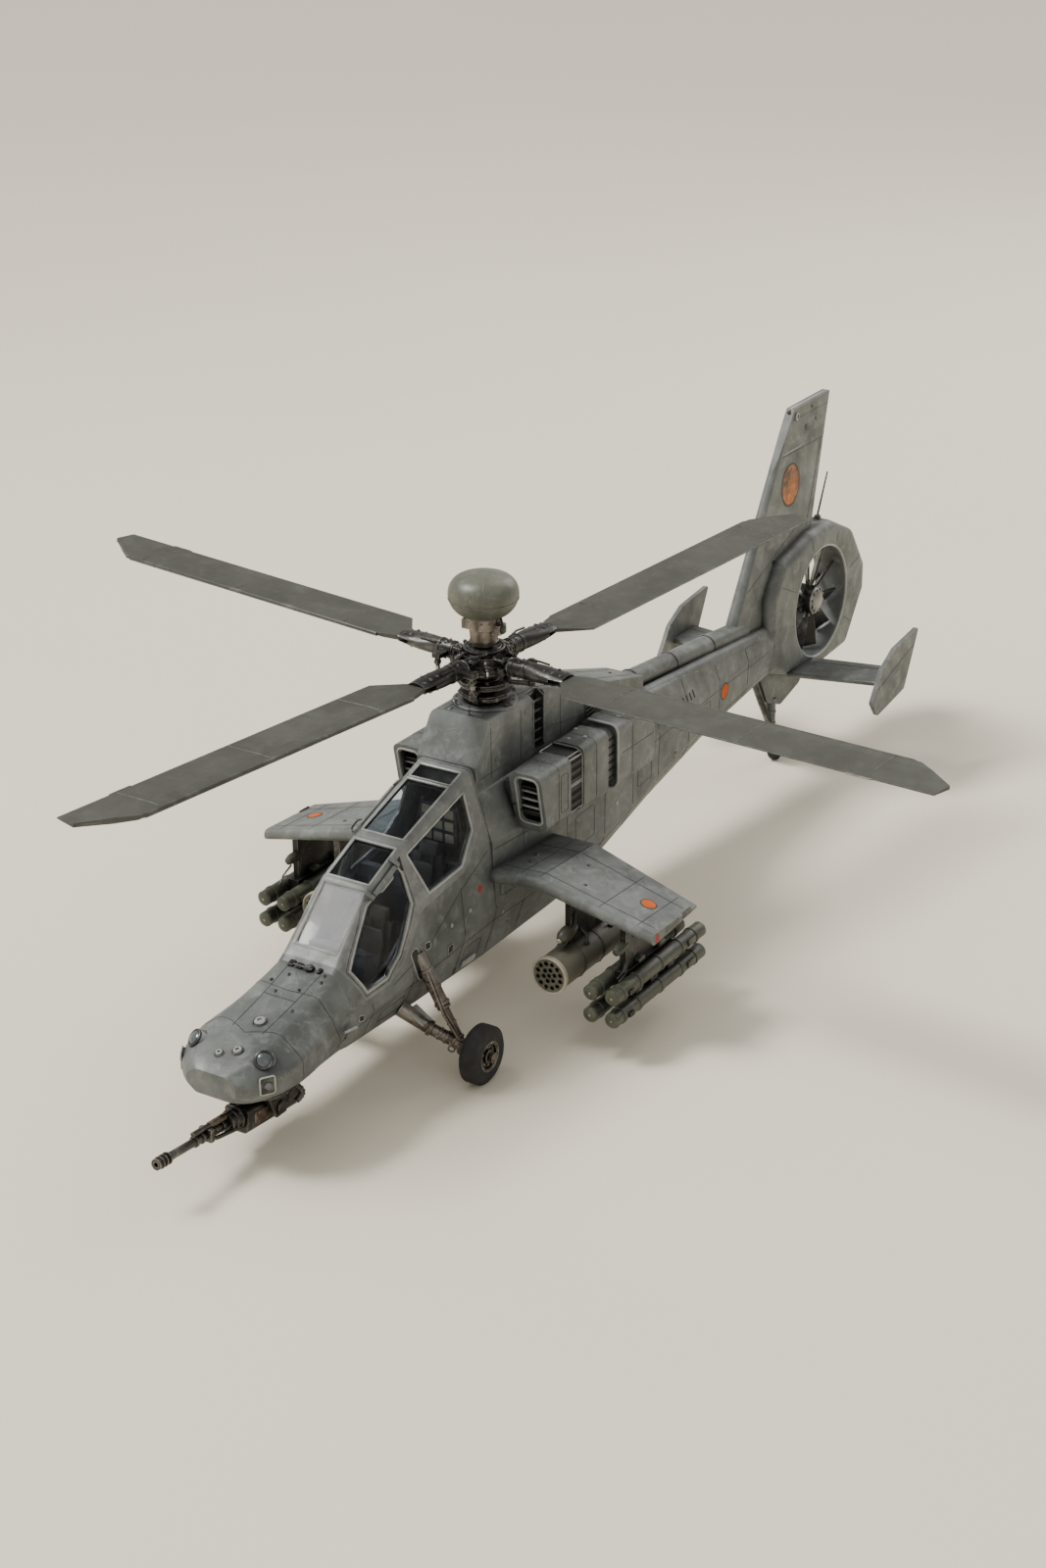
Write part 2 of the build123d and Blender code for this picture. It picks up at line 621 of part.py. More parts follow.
for side, name in ((1, "left"), (-1, "right")):
    with BuildPart() as nacelle:
        add(rounded_box(45.0, 65.0, *sorted((side * 17.5, side * 30.4)), 64.5, 87.4, 3.0, rake=5.0))
        add(rounded_box(35.0, 46.0, *sorted((side * 17.5, side * 29.4)), 65.5, 86.6, 2.6))
        add(rounded_box(20.0, 36.5, *sorted((side * 17.0, side * 30.6)), 64.0, 88.4, 3.2))
        add(rounded_box(11.0, 21.0, *sorted((side * 17.0, side * 28.4)), 66.0, 86.0, 2.6))
        add(rounded_box(-14.0, 12.5, *sorted((side * 15.0, side * 30.0)), 63.5, 87.6, 3.0))
        add(block((10.0, min(side * 12, side * 20), 69), (60.0, max(side * 12, side * 20), 81)))
        mouth = sorted((side * 20.2, side * 28.2))
        add(rounded_box(57.5, 70.0, *mouth, 68.0, 85.0, 1.8), mode=Mode.SUBTRACT)
        tail = [(-15, 95), (-15, 82.5), (13, 88.5), (13, 95)]
        add(side_prism(tail, -40, 40), mode=Mode.SUBTRACT)
        add(belly_outer, mode=Mode.SUBTRACT)
        add(cabin_outer, mode=Mode.SUBTRACT)
        add(mast_pylon.part, mode=Mode.SUBTRACT)
    shell = nacelle.part.solids().sort_by(SortBy.VOLUME)[-1]
    save(shell, f"nacelle_{name}")

grilles = []
for side in (1, -1):
    for row in range(5):
        z = 69.9 + 3.0 * row
        grilles.append(block((57.5, min(side * 20.2, side * 28.2), z), (59.5, max(side * 20.2, side * 28.2), z + 1.1)))
    for row in range(6):
        z = 68.0 + 3.0 * row
        low, high = sorted((side * 29.4, side * 30.0))
        grilles.append(block((37.2, low, z), (44.2, high, z + 1.4)))
save(Compound(children=grilles), "engine_grilles")

# ---- Tail boom and spine ----
SHROUD_SIDE = [
    (-150.0, 47.0),
    (-150.0, 79.0),
    (-160.0, 92.0),
    (-186.0, 97.5),
    (-206.0, 97.5),
    (-226.0, 88.0),
    (-238.5, 70.0),
    (-238.5, 58.0),
    (-223.0, 36.5),
    (-186.0, 34.5),
    (-163.0, 42.0),
]
SHROUD_RIM = 4.2
with BuildPart() as shroud_solid:
    with BuildSketch(XZ.offset(-SHROUD_HALF)) as shroud_face:
        with BuildLine():
            Polyline(*SHROUD_SIDE, close=True)
        make_face()
        fillet(shroud_face.vertices(), 5.0)
    extrude(amount=2 * SHROUD_HALF)
    fillet(shroud_solid.faces().filter_by(Axis.Y).edges(), SHROUD_RIM)
    with BuildSketch(XZ.offset(-20)):
        with Locations((FAN_X, FAN_Z)):
            Circle(DUCT_R)
    extrude(amount=40, mode=Mode.SUBTRACT)
    chamfer(shroud_solid.edges().filter_by(GeomType.CIRCLE).filter_by(lambda e: abs(e.radius - DUCT_R) < 0.01), 0.8)
save(shroud_solid.part, "fan_shroud")
shroud_outer = side_prism(SHROUD_SIDE, -SHROUD_HALF, SHROUD_HALF)

with BuildPart() as tail_boom:
    add(boom_outer)
    add(boom_inner, mode=Mode.SUBTRACT)
    add(shroud_solid.part, mode=Mode.SUBTRACT)
boom_shell = tail_boom.part.solids().sort_by(SortBy.VOLUME)[-1]
save(boom_shell, "tail_boom")

SPINE_FRONT = (-18.0, 0.0, 81.0)
SPINE_REAR = (-136.0, 0.0, 69.6)
with BuildPart() as spine_tubes:
    add(rod(SPINE_FRONT, SPINE_REAR, 4.2))
    with Locations(SPINE_REAR):
        Sphere(4.2)
    for side in (1, -1):
        low = (-140.0, side * 4.2, 65.6)
        add(rod((-30.0, side * 6.6, 75.6), low, 2.8))
        with Locations(low):
            Sphere(2.8)
    add(boom_outer, mode=Mode.SUBTRACT)
    add(belly_outer, mode=Mode.SUBTRACT)
    add(pylon_body(0.0), mode=Mode.SUBTRACT)
    add(shroud_solid.part, mode=Mode.SUBTRACT)
spine_solids = [s for s in spine_tubes.part.solids() if s.volume > 20]
spine = spine_solids[0]
save(spine, "spine_tubes")

FIN_SIDE = [(-120.0, 68.0), (-123.4, 76.0), (-175.5, 152.0), (-207.6, 152.3), (-204.5, 141.0), (-193.0, 97.0), (-180.0, 70.0), (-150.0, 60.0)]
FIN_HALF = 2.4
with BuildPart() as tail_fin:
    with BuildSketch(Plane.XY.offset(60)) as root_face:
        with Locations((-158.0, 0)):
            SlotOverall(78.0, 2 * FIN_HALF + 1.0)
    with BuildSketch(Plane.XY.offset(152.3)):
        with Locations((-191.6, 0)):
            SlotOverall(36.0, 2 * FIN_HALF - 1.4)
    loft()
    add(side_prism(FIN_SIDE, -8, 8), mode=Mode.INTERSECT)
    add(shroud_solid.part, mode=Mode.SUBTRACT)
    add(boom_outer, mode=Mode.SUBTRACT)
    add(spine, mode=Mode.SUBTRACT)
fin_solid = tail_fin.part.solids().sort_by(SortBy.VOLUME)[-1]
save(fin_solid, "tail_fin")

# ---- Tail fan ----
FAN_BLADES = 10
FAN_MID_Y = 1.0
with BuildPart() as tail_fan:
    add(rod((FAN_X, FAN_MID_Y - 3.6, FAN_Z), (FAN_X, FAN_MID_Y + 3.6, FAN_Z), 6.0))
    add(rod((FAN_X, FAN_MID_Y + 3.6, FAN_Z), (FAN_X, FAN_MID_Y + 5.2, FAN_Z), 4.2, 2.6))
    for index in range(FAN_BLADES):
        turn = radians(360.0 * index / FAN_BLADES + 12)
        out = Vector(cos(turn), 0, sin(turn))
        lean = radians(38)
        side_way = Vector(-sin(turn), 0, cos(turn))
        normal = side_way * sin(lean) + Vector(0, 1, 0) * cos(lean)
        with BuildSketch(Plane((FAN_X, FAN_MID_Y, FAN_Z), x_dir=out, z_dir=normal)):
            with BuildLine():
                Polyline((4.5, 1.6), (10.0, 2.8), (FAN_R - 0.6, 3.6), (FAN_R - 0.6, -3.6), (10.0, -2.8), (4.5, -1.6), close=True)
            make_face()
        extrude(amount=0.45, both=True)
    add(rod((FAN_X, FAN_MID_Y - 8, FAN_Z), (FAN_X, FAN_MID_Y + 1.0, FAN_Z), SPINDLE_R + RUN), mode=Mode.SUBTRACT)
save(tail_fan.part, "tail_fan")

with BuildPart() as fan_stator:
    add(rod((FAN_X, -7.0, FAN_Z), (FAN_X, -3.2, FAN_Z), 5.6))
    add(rod((FAN_X, -3.2, FAN_Z), (FAN_X, FAN_MID_Y + 0.8, FAN_Z), SPINDLE_R))
    for index in range(7):
        turn = radians(360.0 * index / 7 + 20)
        end = (FAN_X + 25.5 * cos(turn), -5.4, FAN_Z + 25.5 * sin(turn))
        add(rod((FAN_X, -5.4, FAN_Z), end, 0.9))
    add(shroud_solid.part, mode=Mode.SUBTRACT)
stator_solid = fan_stator.part.solids().sort_by(SortBy.VOLUME)[-1]
save(stator_solid, "fan_stator")

# ---- Tailplane and ventral fin ----
PLATE_Y = 49.4
TAILPLANE_X = -179.0
with BuildPart() as tailplane:
    for side in (1, -1):
        with BuildPart(mode=Mode.PRIVATE) as panel:
            for y, z, chord in ((6.0, 40.6, 22.0), (PLATE_Y - 0.9, 44.6, 20.0)):
                with BuildSketch(Plane((TAILPLANE_X, side * y, z), x_dir=(1, 0, 0), z_dir=(0, side, 0))):
                    SlotOverall(chord, 2.2)
            loft()
        add(panel.part)
    add(shroud_solid.part, mode=Mode.SUBTRACT)
panels = [s for s in tailplane.part.solids() if s.volume > 100]
save(Compound(children=panels), "tailplane")

plates = []
for side in (1, -1):
    with BuildPart() as plate:
        with BuildSketch(XZ.offset(-side * PLATE_Y)) as plate_face:
            with BuildLine():
                Polyline((-200.0, 60.5), (-177.0, 58.0), (-166.0, 52.5), (-157.5, 40.5), (-163.0, 33.5), (-188.0, 37.0), close=True)
            make_face()
            fillet(plate_face.vertices(), 1.0)
        extrude(amount=0.9, both=True)
    plates.append(plate.part)
save(Compound(children=plates), "end_plates")

with BuildPart() as ventral_fin:
    with BuildSketch(XZ.offset(-1.5)) as ventral_face:
        with BuildLine():
            Polyline((-150.0, 48.0), (-160.0, 30.0), (-172.0, 25.0), (-190.0, 29.5), (-194.0, 40.0), close=True)
        make_face()
        fillet(ventral_face.vertices().sort_by(Axis.Y)[:3], 4.0)
    extrude(amount=3.0)
    add(rod((TAIL_LEG_X, 0, 30), (TAIL_LEG_X, 0, 14.0), 2.2))
    add(rod((-148.0, 0, 46), (TAIL_LEG_X, 0, 17.0), 1.3))
    add(shroud_solid.part, mode=Mode.SUBTRACT)
    add(boom_outer, mode=Mode.SUBTRACT)
    add(rod((TAIL_LEG_X, 0, 10), (TAIL_LEG_X, 0, 22.0), 1.0 + RUN), mode=Mode.SUBTRACT)
ventral_solid = ventral_fin.part.solids().sort_by(SortBy.VOLUME)[-1]
save(ventral_solid, "ventral_fin")

with BuildPart() as tail_fork:
    add(rod((TAIL_LEG_X, 0, 12.4), (TAIL_LEG_X, 0, 21.6), 1.0))
    add(block((TAIL_LEG_X - 6.5, -3.4, 11.0), (TAIL_LEG_X + 2.2, 3.4, 12.6)))
    for side in (1, -1):
        low, high = sorted((side * 2.4, side * 3.4))
        leg = [(TAIL_LEG_X + 1.5, 12.0), (TAIL_LEG_X - 6.5, 12.0), (TAIL_WHEEL_X - 1.8, 3.8), (TAIL_WHEEL_X + 1.8, 3.8)]
        add(side_prism(leg, low, high))
    add(rod((TAIL_WHEEL_X, -3.4, TAIL_TYRE_R), (TAIL_WHEEL_X, 3.4, TAIL_TYRE_R), 0.9))
save(tail_fork.part, "tail_fork")

with BuildPart() as tail_wheel:
    with BuildSketch(XZ.offset(-2.0)):
        with Locations((TAIL_WHEEL_X, TAIL_TYRE_R)):
            Circle(TAIL_TYRE_R)
    extrude(amount=4.0)
    fillet(tail_wheel.edges().filter_by(GeomType.CIRCLE), 1.4)
    add(rod((TAIL_WHEEL_X, -3, TAIL_TYRE_R), (TAIL_WHEEL_X, 3, TAIL_TYRE_R), 0.9 + RUN), mode=Mode.SUBTRACT)
save(tail_wheel.part, "tail_wheel")

# ---- Stub wings and stores ----
POD_Y = 48.0
POD_Z = 27.5
MISSILE_Y = (64.0, 72.4)
MISSILE_Z = (25.4, 17.0)
wings = {}
for side, name in ((1, "left"), (-1, "right")):
    with BuildPart() as wing:
        stations = ((15.0, 53.0, 38.0, 79.5, 5.4), (38.0, 54.8, 41.0, 79.5, 5.0), (80.5, 43.6, 45.0, 76.0, 4.2))
        for y, z, x_back, x_front, thick in stations:
            with BuildSketch(Plane(((x_back + x_front) / 2, side * y, z), x_dir=(1, 0, 0), z_dir=(0, side, 0))):
                half = (x_front - x_back) / 2
                with Locations((half - thick / 2, 0)):
                    Circle(thick / 2)
                with Locations((-half + 0.5, 0)):
                    Circle(0.5)
                make_hull()
        loft(ruled=True)
        add(belly_outer, mode=Mode.SUBTRACT)
        add(cabin_outer, mode=Mode.SUBTRACT)
    wing_solid = wing.part.solids().sort_by(SortBy.VOLUME)[-1]
    wings[side] = wing_solid
    save(wing_solid, f"stub_wing_{name}")

pods = []
tubes = []
racks = []
for side in (1, -1):
    pod_axis = side * POD_Y
    with BuildPart() as pod:
        add(rod((31.0, pod_axis, POD_Z), (36.0, pod_axis, POD_Z), 4.6, 6.4))
        add(rod((36.0, pod_axis, POD_Z), (88.5, pod_axis, POD_Z), 6.4))
        for ring_r, count in ((0.0, 1), (2.2, 6), (4.5, 12)):
            for index in range(count):
                turn = radians(360.0 * index / count + 15)
                y = pod_axis + ring_r * cos(turn)
                z = POD_Z + ring_r * sin(turn)
                add(rod((80.0, y, z), (90.0, y, z), 0.85), mode=Mode.SUBTRACT)
    pods.append(pod.part)
    with BuildPart() as rack:
        add(block((50.0, min(side * 46.8, side * 49.2), 32.0), (76.0, max(side * 46.8, side * 49.2), 56.0)))
        add(block((52.0, min(side * 67.0, side * 69.4), 20.0), (74.0, max(side * 67.0, side * 69.4), 50.0)))
        add(block((44.0, min(side * 66.0, side * 70.4), 15.0), (76.0, max(side * 66.0, side * 70.4), 29.0)))
        add(block((46.0, min(side * 64.0, side * 72.4), 20.0), (50.0, max(side * 64.0, side * 72.4), 22.4)))
        add(block((68.0, min(side * 64.0, side * 72.4), 20.0), (72.0, max(side * 64.0, side * 72.4), 22.4)))
        add(pod.part, mode=Mode.SUBTRACT)
        add(wings[side], mode=Mode.SUBTRACT)
        for y in MISSILE_Y:
            for z in MISSILE_Z:
                add(rod((20, side * y, z), (100, side * y, z), 2.8), mode=Mode.SUBTRACT)
    for solid in rack.part.solids():
        low_z = solid.bounding_box().min.Z
        if low_z < 40:
            racks.append(solid)
    for y in MISSILE_Y:
        for z in MISSILE_Z:
            with BuildPart() as tube:
                add(rod((28.0, side * y, z), (88.0, side * y, z), 2.8))
                add(rod((84.0, side * y, z), (89.0, side * y, z), 2.0), mode=Mode.SUBTRACT)
                add(rod((27.0, side * y, z), (32.0, side * y, z), 2.0), mode=Mode.SUBTRACT)
            tubes.append(tube.part)
save(Compound(children=racks), "store_pylons")
save(Compound(children=pods), "rocket_pods")
save(Compound(children=tubes), "missile_tubes")

# ---- Main gear ----
legs = []
for side, name in ((1, "left"), (-1, "right")):
    top = (STRUT_TOP[0], side * STRUT_TOP[1], STRUT_TOP[2])
    root = (ARM_ROOT[0], side * ARM_ROOT[1], ARM_ROOT[2])
    knee = (WHEEL_X, side * 33.6, TYRE_R + 1.0)
    middle = tuple(0.45 * a + 0.55 * b for a, b in zip(top, knee))
    with BuildPart() as leg:
        add(rod(top, middle, 2.3))
        add(rod(middle, knee, 1.5))
        add(rod(root, (WHEEL_X + 4, side * 23.0, 17.0), 2.9, 2.3))
        add(rod((WHEEL_X + 4, side * 23.0, 17.0), knee, 2.1))
        with Locations(knee):
            Sphere(2.6)
        add(rod((WHEEL_X, side * 33.0, TYRE_R), (WHEEL_X, side * 44.6, TYRE_R), AXLE_R))
        add(rod((WHEEL_X, side * 32.4, TYRE_R), (WHEEL_X, side * 36.6, TYRE_R), 2.4))
        add(cabin_outer, mode=Mode.SUBTRACT)
    legs.append(leg.part.solids().sort_by(SortBy.VOLUME)[-1])
    y_in = HALF_TRACK - TYRE_W / 2
    y_out = HALF_TRACK + TYRE_W / 2
    with BuildPart() as rim:
        add(rod((WHEEL_X, side * (y_in + 0.4), TYRE_R), (WHEEL_X, side * (y_out - 0.4), TYRE_R), 5.4))
        add(rod((WHEEL_X, side * (y_out - 1.6), TYRE_R), (WHEEL_X, side * (y_out + 1), TYRE_R), 4.4), mode=Mode.SUBTRACT)
        add(rod((WHEEL_X, side * (y_out - 1.6), TYRE_R), (WHEEL_X, side * (y_out - 0.2), TYRE_R), 2.4))
        for index in range(6):
            turn = radians(60.0 * index)
            x = WHEEL_X + 3.3 * cos(turn)
            z = TYRE_R + 3.3 * sin(turn)
            add(rod((x, side * (y_out - 1.7), z), (x, side * (y_out - 1.1), z), 0.5))
        add(rod((WHEEL_X, side * 30, TYRE_R), (WHEEL_X, side * 50, TYRE_R), AXLE_R + RUN), mode=Mode.SUBTRACT)
    save(rim.part, f"wheel_rim_{name}")
    with BuildPart() as tyre:
        with BuildSketch(XZ.offset(-HALF_TRACK * side - TYRE_W / 2)):
            with Locations((WHEEL_X, TYRE_R)):
                Circle(TYRE_R)
        extrude(amount=TYRE_W)
        fillet(tyre.edges().filter_by(GeomType.CIRCLE), 2.6)
        add(rod((WHEEL_X, side * 30, TYRE_R), (WHEEL_X, side * 50, TYRE_R), 5.4), mode=Mode.SUBTRACT)
    save(tyre.part, f"main_tyre_{name}")
save(Compound(children=legs), "gear_legs")

# ---- Gun turret ----
gun_up = radians(GUN_REST_DEG)
gun_plane = Plane(
    (TURRET_X, 0, TRUNNION_Z), x_dir=(cos(gun_up), 0, sin(gun_up)), z_dir=(-sin(gun_up), 0, cos(gun_up))
)
with BuildPart() as gun_turret:
    add(rod((TURRET_X, 0, 18.4), (TURRET_X, 0, 20.1), 9.4))
    add(rod((TURRET_X, 0, 20.0), (TURRET_X, 0, 27.0), 2.0))
    for side in (1, -1):
        low, high = sorted((side * 5.6, side * 7.2))
        cheek = [(TURRET_X - 6.5, 19.0), (TURRET_X - 2.5, 10.2), (TURRET_X + 2.5, 10.2), (TURRET_X + 6.5, 19.0)]
        add(side_prism(cheek, low, high))
        add(rod((TURRET_X, side * 5.0, TRUNNION_Z), (TURRET_X, side * 7.6, TRUNNION_Z), 1.2))
save(gun_turret.part, "gun_turret")

with BuildPart() as receiver:
    add(rounded_box(-12.5, 14.0, -4.6, 4.6, -5.0, 3.4, 1.6))
    add(rod((14.0, 0, 0), (19.0, 0, 0), 3.6, 3.0))
    add(rod((5.0, 0, 2.7), (36.0, 0, 2.7), 0.9))
    add(block((-16.5, -2.2, -3.4), (-12.5, 2.2, 1.6)))
    add(block((-15.4, -3, -2.2), (-13.6, 3, 0.6)), mode=Mode.SUBTRACT)
    add(rod((0, -6, 0), (0, 6, 0), 1.2 + RUN), mode=Mode.SUBTRACT)
    add(rod((12, 0, 0), (20, 0, 0), 1.4), mode=Mode.SUBTRACT)
save(receiver.part.moved(gun_plane.location), "gun_receiver")

with BuildPart() as barrel:
    add(rod((12.0, 0, 0), (MUZZLE - 4, 0, 0), 1.4))
    add(rod((MUZZLE - 5, 0, 0), (MUZZLE, 0, 0), 1.4, 1.9))
    add(rod((24, 0, 0), (26, 0, 0), 1.75))
    add(rod((MUZZLE - 6, 0, 0), (MUZZLE + 1, 0, 0), 0.8), mode=Mode.SUBTRACT)
gun_barrel = cut(barrel.part, receiver.part)
save(gun_barrel.moved(gun_plane.location), "gun_barrel")

# ---- Antennas ----
with BuildPart() as whip:
    add(rod((-204.0, 0, 97.5), (-204.0, 0, 99.0), 1.4))
    add(rod((-204.0, 0, 99.0), (-212.0, 0, 116.0), 0.45, 0.3))
with BuildPart() as belly_blade:
    add(side_prism([(-12.0, 34.0), (-18.0, 20.5), (-24.0, 20.5), (-20.0, 34.0)], -0.8, 0.8))
    add(belly_outer, mode=Mode.SUBTRACT)
blade_antenna = belly_blade.part.solids().sort_by(Axis.Z)[0]
save(Compound(children=[whip.part.solids()[0], blade_antenna]), "antennas")
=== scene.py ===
"""Looks of the helicopter display model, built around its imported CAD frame. Units are metres."""

import json
import math

import bmesh
import bpy
from mathutils import Matrix, Vector
from mathutils.bvhtree import BVHTree


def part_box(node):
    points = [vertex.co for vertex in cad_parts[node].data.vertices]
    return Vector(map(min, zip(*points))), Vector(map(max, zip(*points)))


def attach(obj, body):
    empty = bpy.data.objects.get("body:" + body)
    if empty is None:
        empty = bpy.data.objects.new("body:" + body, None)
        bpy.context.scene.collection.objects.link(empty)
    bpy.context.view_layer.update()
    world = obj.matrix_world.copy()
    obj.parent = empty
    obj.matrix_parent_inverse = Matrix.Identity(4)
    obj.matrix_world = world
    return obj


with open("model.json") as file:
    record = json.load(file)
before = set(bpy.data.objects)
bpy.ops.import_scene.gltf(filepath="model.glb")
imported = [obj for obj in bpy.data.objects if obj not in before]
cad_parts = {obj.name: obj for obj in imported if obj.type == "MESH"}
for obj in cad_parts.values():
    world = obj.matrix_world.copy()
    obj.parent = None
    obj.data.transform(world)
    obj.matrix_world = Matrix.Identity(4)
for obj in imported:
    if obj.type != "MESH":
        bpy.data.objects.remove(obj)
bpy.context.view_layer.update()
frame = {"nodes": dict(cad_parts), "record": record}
NODES = frame["nodes"]
MM = 0.001

# ---- camera and light
MAST = Vector((52, 0, 120)) * MM
AIM = Vector((58, 19, 80)) * MM
VIEW_AZIMUTH = math.radians(33.2)
VIEW_ELEVATION = math.radians(21.3)
VIEW_ROLL = math.radians(-0.5)
VIEW_DISTANCE = 925 * MM
FOCAL_MM = 62.0

toward_camera = Vector(
    (
        math.cos(VIEW_ELEVATION) * math.cos(VIEW_AZIMUTH),
        math.cos(VIEW_ELEVATION) * math.sin(VIEW_AZIMUTH),
        math.sin(VIEW_ELEVATION),
    )
)
camera_data = bpy.data.cameras.new("camera")
camera_data.lens = FOCAL_MM
camera_data.clip_start = 0.01
camera = bpy.data.objects.new("camera", camera_data)
camera.location = MAST + toward_camera * VIEW_DISTANCE
aim_turn = (camera.location - AIM).to_track_quat("Z", "Y").to_matrix()
camera.rotation_euler = (aim_turn @ Matrix.Rotation(VIEW_ROLL, 3, "Z")).to_euler()
bpy.context.scene.collection.objects.link(camera)
bpy.context.scene.camera = camera


def area_light(name, place, size, power, colour):
    """A soft light that looks at the model's middle."""
    data = bpy.data.lights.new(name, "AREA")
    data.shape = "RECTANGLE"
    data.size, data.size_y = size
    data.energy = power
    data.color = colour
    lamp = bpy.data.objects.new(name, data)
    lamp.location = place
    lamp.rotation_euler = (Vector(place) - Vector((0, 0, 0.06))).to_track_quat("Z", "Y").to_euler()
    bpy.context.scene.collection.objects.link(lamp)


area_light("key", (0.36, -0.6, 1.15), (0.6, 0.6), 9.0, (1.0, 0.975, 0.94))
area_light("fill", (0.9, 1.1, 0.7), (0.9, 0.9), 2.5, (0.93, 0.96, 1.0))
area_light("rim", (-1.1, 0.2, 0.8), (0.8, 0.8), 6.0, (1.0, 0.97, 0.93))
sun_data = bpy.data.lights.new("soft_sun", "SUN")
sun_data.energy = 2.3
sun_data.angle = math.radians(16)
sun_data.color = (1.0, 0.98, 0.95)
sun = bpy.data.objects.new("soft_sun", sun_data)
sun.rotation_euler = Vector((0.38, -0.62, 1.0)).to_track_quat("Z", "Y").to_euler()
bpy.context.scene.collection.objects.link(sun)
world = bpy.data.worlds.new("studio")
bpy.context.scene.world = world
world.use_nodes = True
world.node_tree.nodes["Background"].inputs["Color"].default_value = (0.94, 0.91, 0.86, 1)
world.node_tree.nodes["Background"].inputs["Strength"].default_value = 0.6


# ---- node helpers
LOOKS = {}


class Shade:
    """A material's node tree, with short calls for the nodes it uses."""

    def __init__(self, name):
        self.material = bpy.data.materials.new(name)
        LOOKS[name] = self.material
        self.material.use_nodes = True
        self.tree = self.material.node_tree
        self.shader = self.tree.nodes["Principled BSDF"]
        self.place = self.add("ShaderNodeTexCoord").outputs["Object"]

    def add(self, kind, inputs=None, **settings):
        """A node with its settings, and values or sockets for its inputs."""
        node = self.tree.nodes.new(kind)
        for key, value in settings.items():
            setattr(node, key, value)
        for key, value in (inputs or {}).items():
            self.feed(node.inputs[key], value)
        return node

    def feed(self, socket, value):
        """Give an input a number, a colour or another node's output."""
        if isinstance(value, bpy.types.NodeSocket):
            self.tree.links.new(value, socket)
        elif socket.type == "RGBA":
            socket.default_value = (*value, 1.0)
        else:
            socket.default_value = value

    def noise(self, scale, detail=4.0, rough=0.55, stretch=None, distort=0.0):
        """Noise over the object's own coordinates, in cycles per metre."""
        where = self.place
        if stretch:
            where = self.add("ShaderNodeMapping", {"Scale": stretch, "Vector": where}).outputs["Vector"]
        inputs = {
            "Scale": scale, "Detail": detail, "Roughness": rough, "Distortion": distort, "Vector": where
        }
        return self.add("ShaderNodeTexNoise", inputs).outputs["Fac"]

    def ramp(self, value, low, high, out_low=0.0, out_high=1.0):
        inputs = {"Value": value, "From Min": low, "From Max": high, "To Min": out_low, "To Max": out_high}
        return self.add("ShaderNodeMapRange", inputs).outputs["Result"]

    def math(self, operation, a, b):
        return self.add("ShaderNodeMath", {0: a, 1: b}, operation=operation).outputs[0]

    def mix(self, share, a, b):
        """A colour between a and b; each is a colour or a socket."""
        return self.add("ShaderNodeMix", {0: share, 6: a, 7: b}, data_type="RGBA").outputs[2]

    def edge(self, radius, low=0.02, high=0.22):
        """1 along the edges of the shape, 0 on its flats."""
        eased = self.add("ShaderNodeBevel", {"Radius": radius}, samples=4).outputs["Normal"]
        plain = self.add("ShaderNodeNewGeometry").outputs["Normal"]
        dot = self.add("ShaderNodeVectorMath", {0: eased, 1: plain}, operation="DOT_PRODUCT")
        return self.ramp(self.math("SUBTRACT", 1.0, dot.outputs["Value"]), low, high)

    def hollow(self, distance):
        """1 in the open, 0 deep in corners and gaps."""
        return self.add("ShaderNodeAmbientOcclusion", {"Distance": distance}, samples=6).outputs["AO"]

    def bump(self, height, strength, distance):
        inputs = {"Height": height, "Strength": strength, "Distance": distance}
        self.set(Normal=self.add("ShaderNodeBump", inputs).outputs["Normal"])

    def set(self, **values):
        """Values or sockets for the shader's own inputs."""
        for key, value in values.items():
            self.feed(self.shader.inputs[key.replace("_", " ")], value)


# Radius of the edge mask for edge wear and painted edge highlights.
EDGE_WEAR_AND_HIGHLIGHT_RADIUS = 0.35 * MM


def painted(name, base, light, dark, rough, wear_and_highlight, grain, metallic):
    """Weathered paint: mottled colour, streaks, painted shade in the corners and gaps, and worn edges with
    painted edge highlights.
    """
    s = Shade(name)
    cloud = s.ramp(s.noise(grain * 38, 5, 0.6), 0.35, 0.68)
    colour = s.mix(cloud, dark, base)
    patch = s.ramp(s.noise(grain * 120, 6, 0.7, distort=0.6), 0.5, 0.72)
    colour = s.mix(s.math("MULTIPLY", patch, 0.45), colour, light)
    streak = s.ramp(s.noise(grain * 90, 5, 0.65, stretch=(1.0, 1.0, 0.16)), 0.52, 0.78)
    colour = s.mix(s.math("MULTIPLY", streak, 0.38), colour, tuple(0.55 * c for c in dark))
    speck = s.ramp(s.noise(grain * 900, 3, 0.7), 0.62, 0.72)
    colour = s.mix(s.math("MULTIPLY", speck, 0.3), colour, tuple(0.5 * c for c in dark))
    # Painted shade: ambient occlusion darkens the colour towards a third of the dark tone in corners and
    # gaps.
    corner = s.ramp(s.hollow(5 * MM), 0.35, 0.95)
    colour = s.mix(corner, tuple(0.32 * c for c in dark), colour)
    # Edges lightened in noisy patches: partly wear, partly painted highlight along the edges.
    worn_and_highlit_edge = s.math("MULTIPLY", s.edge(EDGE_WEAR_AND_HIGHLIGHT_RADIUS), s.ramp(s.noise(420, 4, 0.7), 0.38, 0.6))
    colour = s.mix(s.math("MULTIPLY", worn_and_highlit_edge, wear_and_highlight), colour, tuple(min(1.0, 1.5 * c) for c in light))
    s.set(Base_Color=colour, Metallic=metallic)
    s.set(Roughness=s.ramp(s.noise(160, 4, 0.6), 0.3, 0.75, rough - 0.1, rough + 0.14))
    s.bump(s.noise(700, 4, 0.6), 0.12, 0.12 * MM)
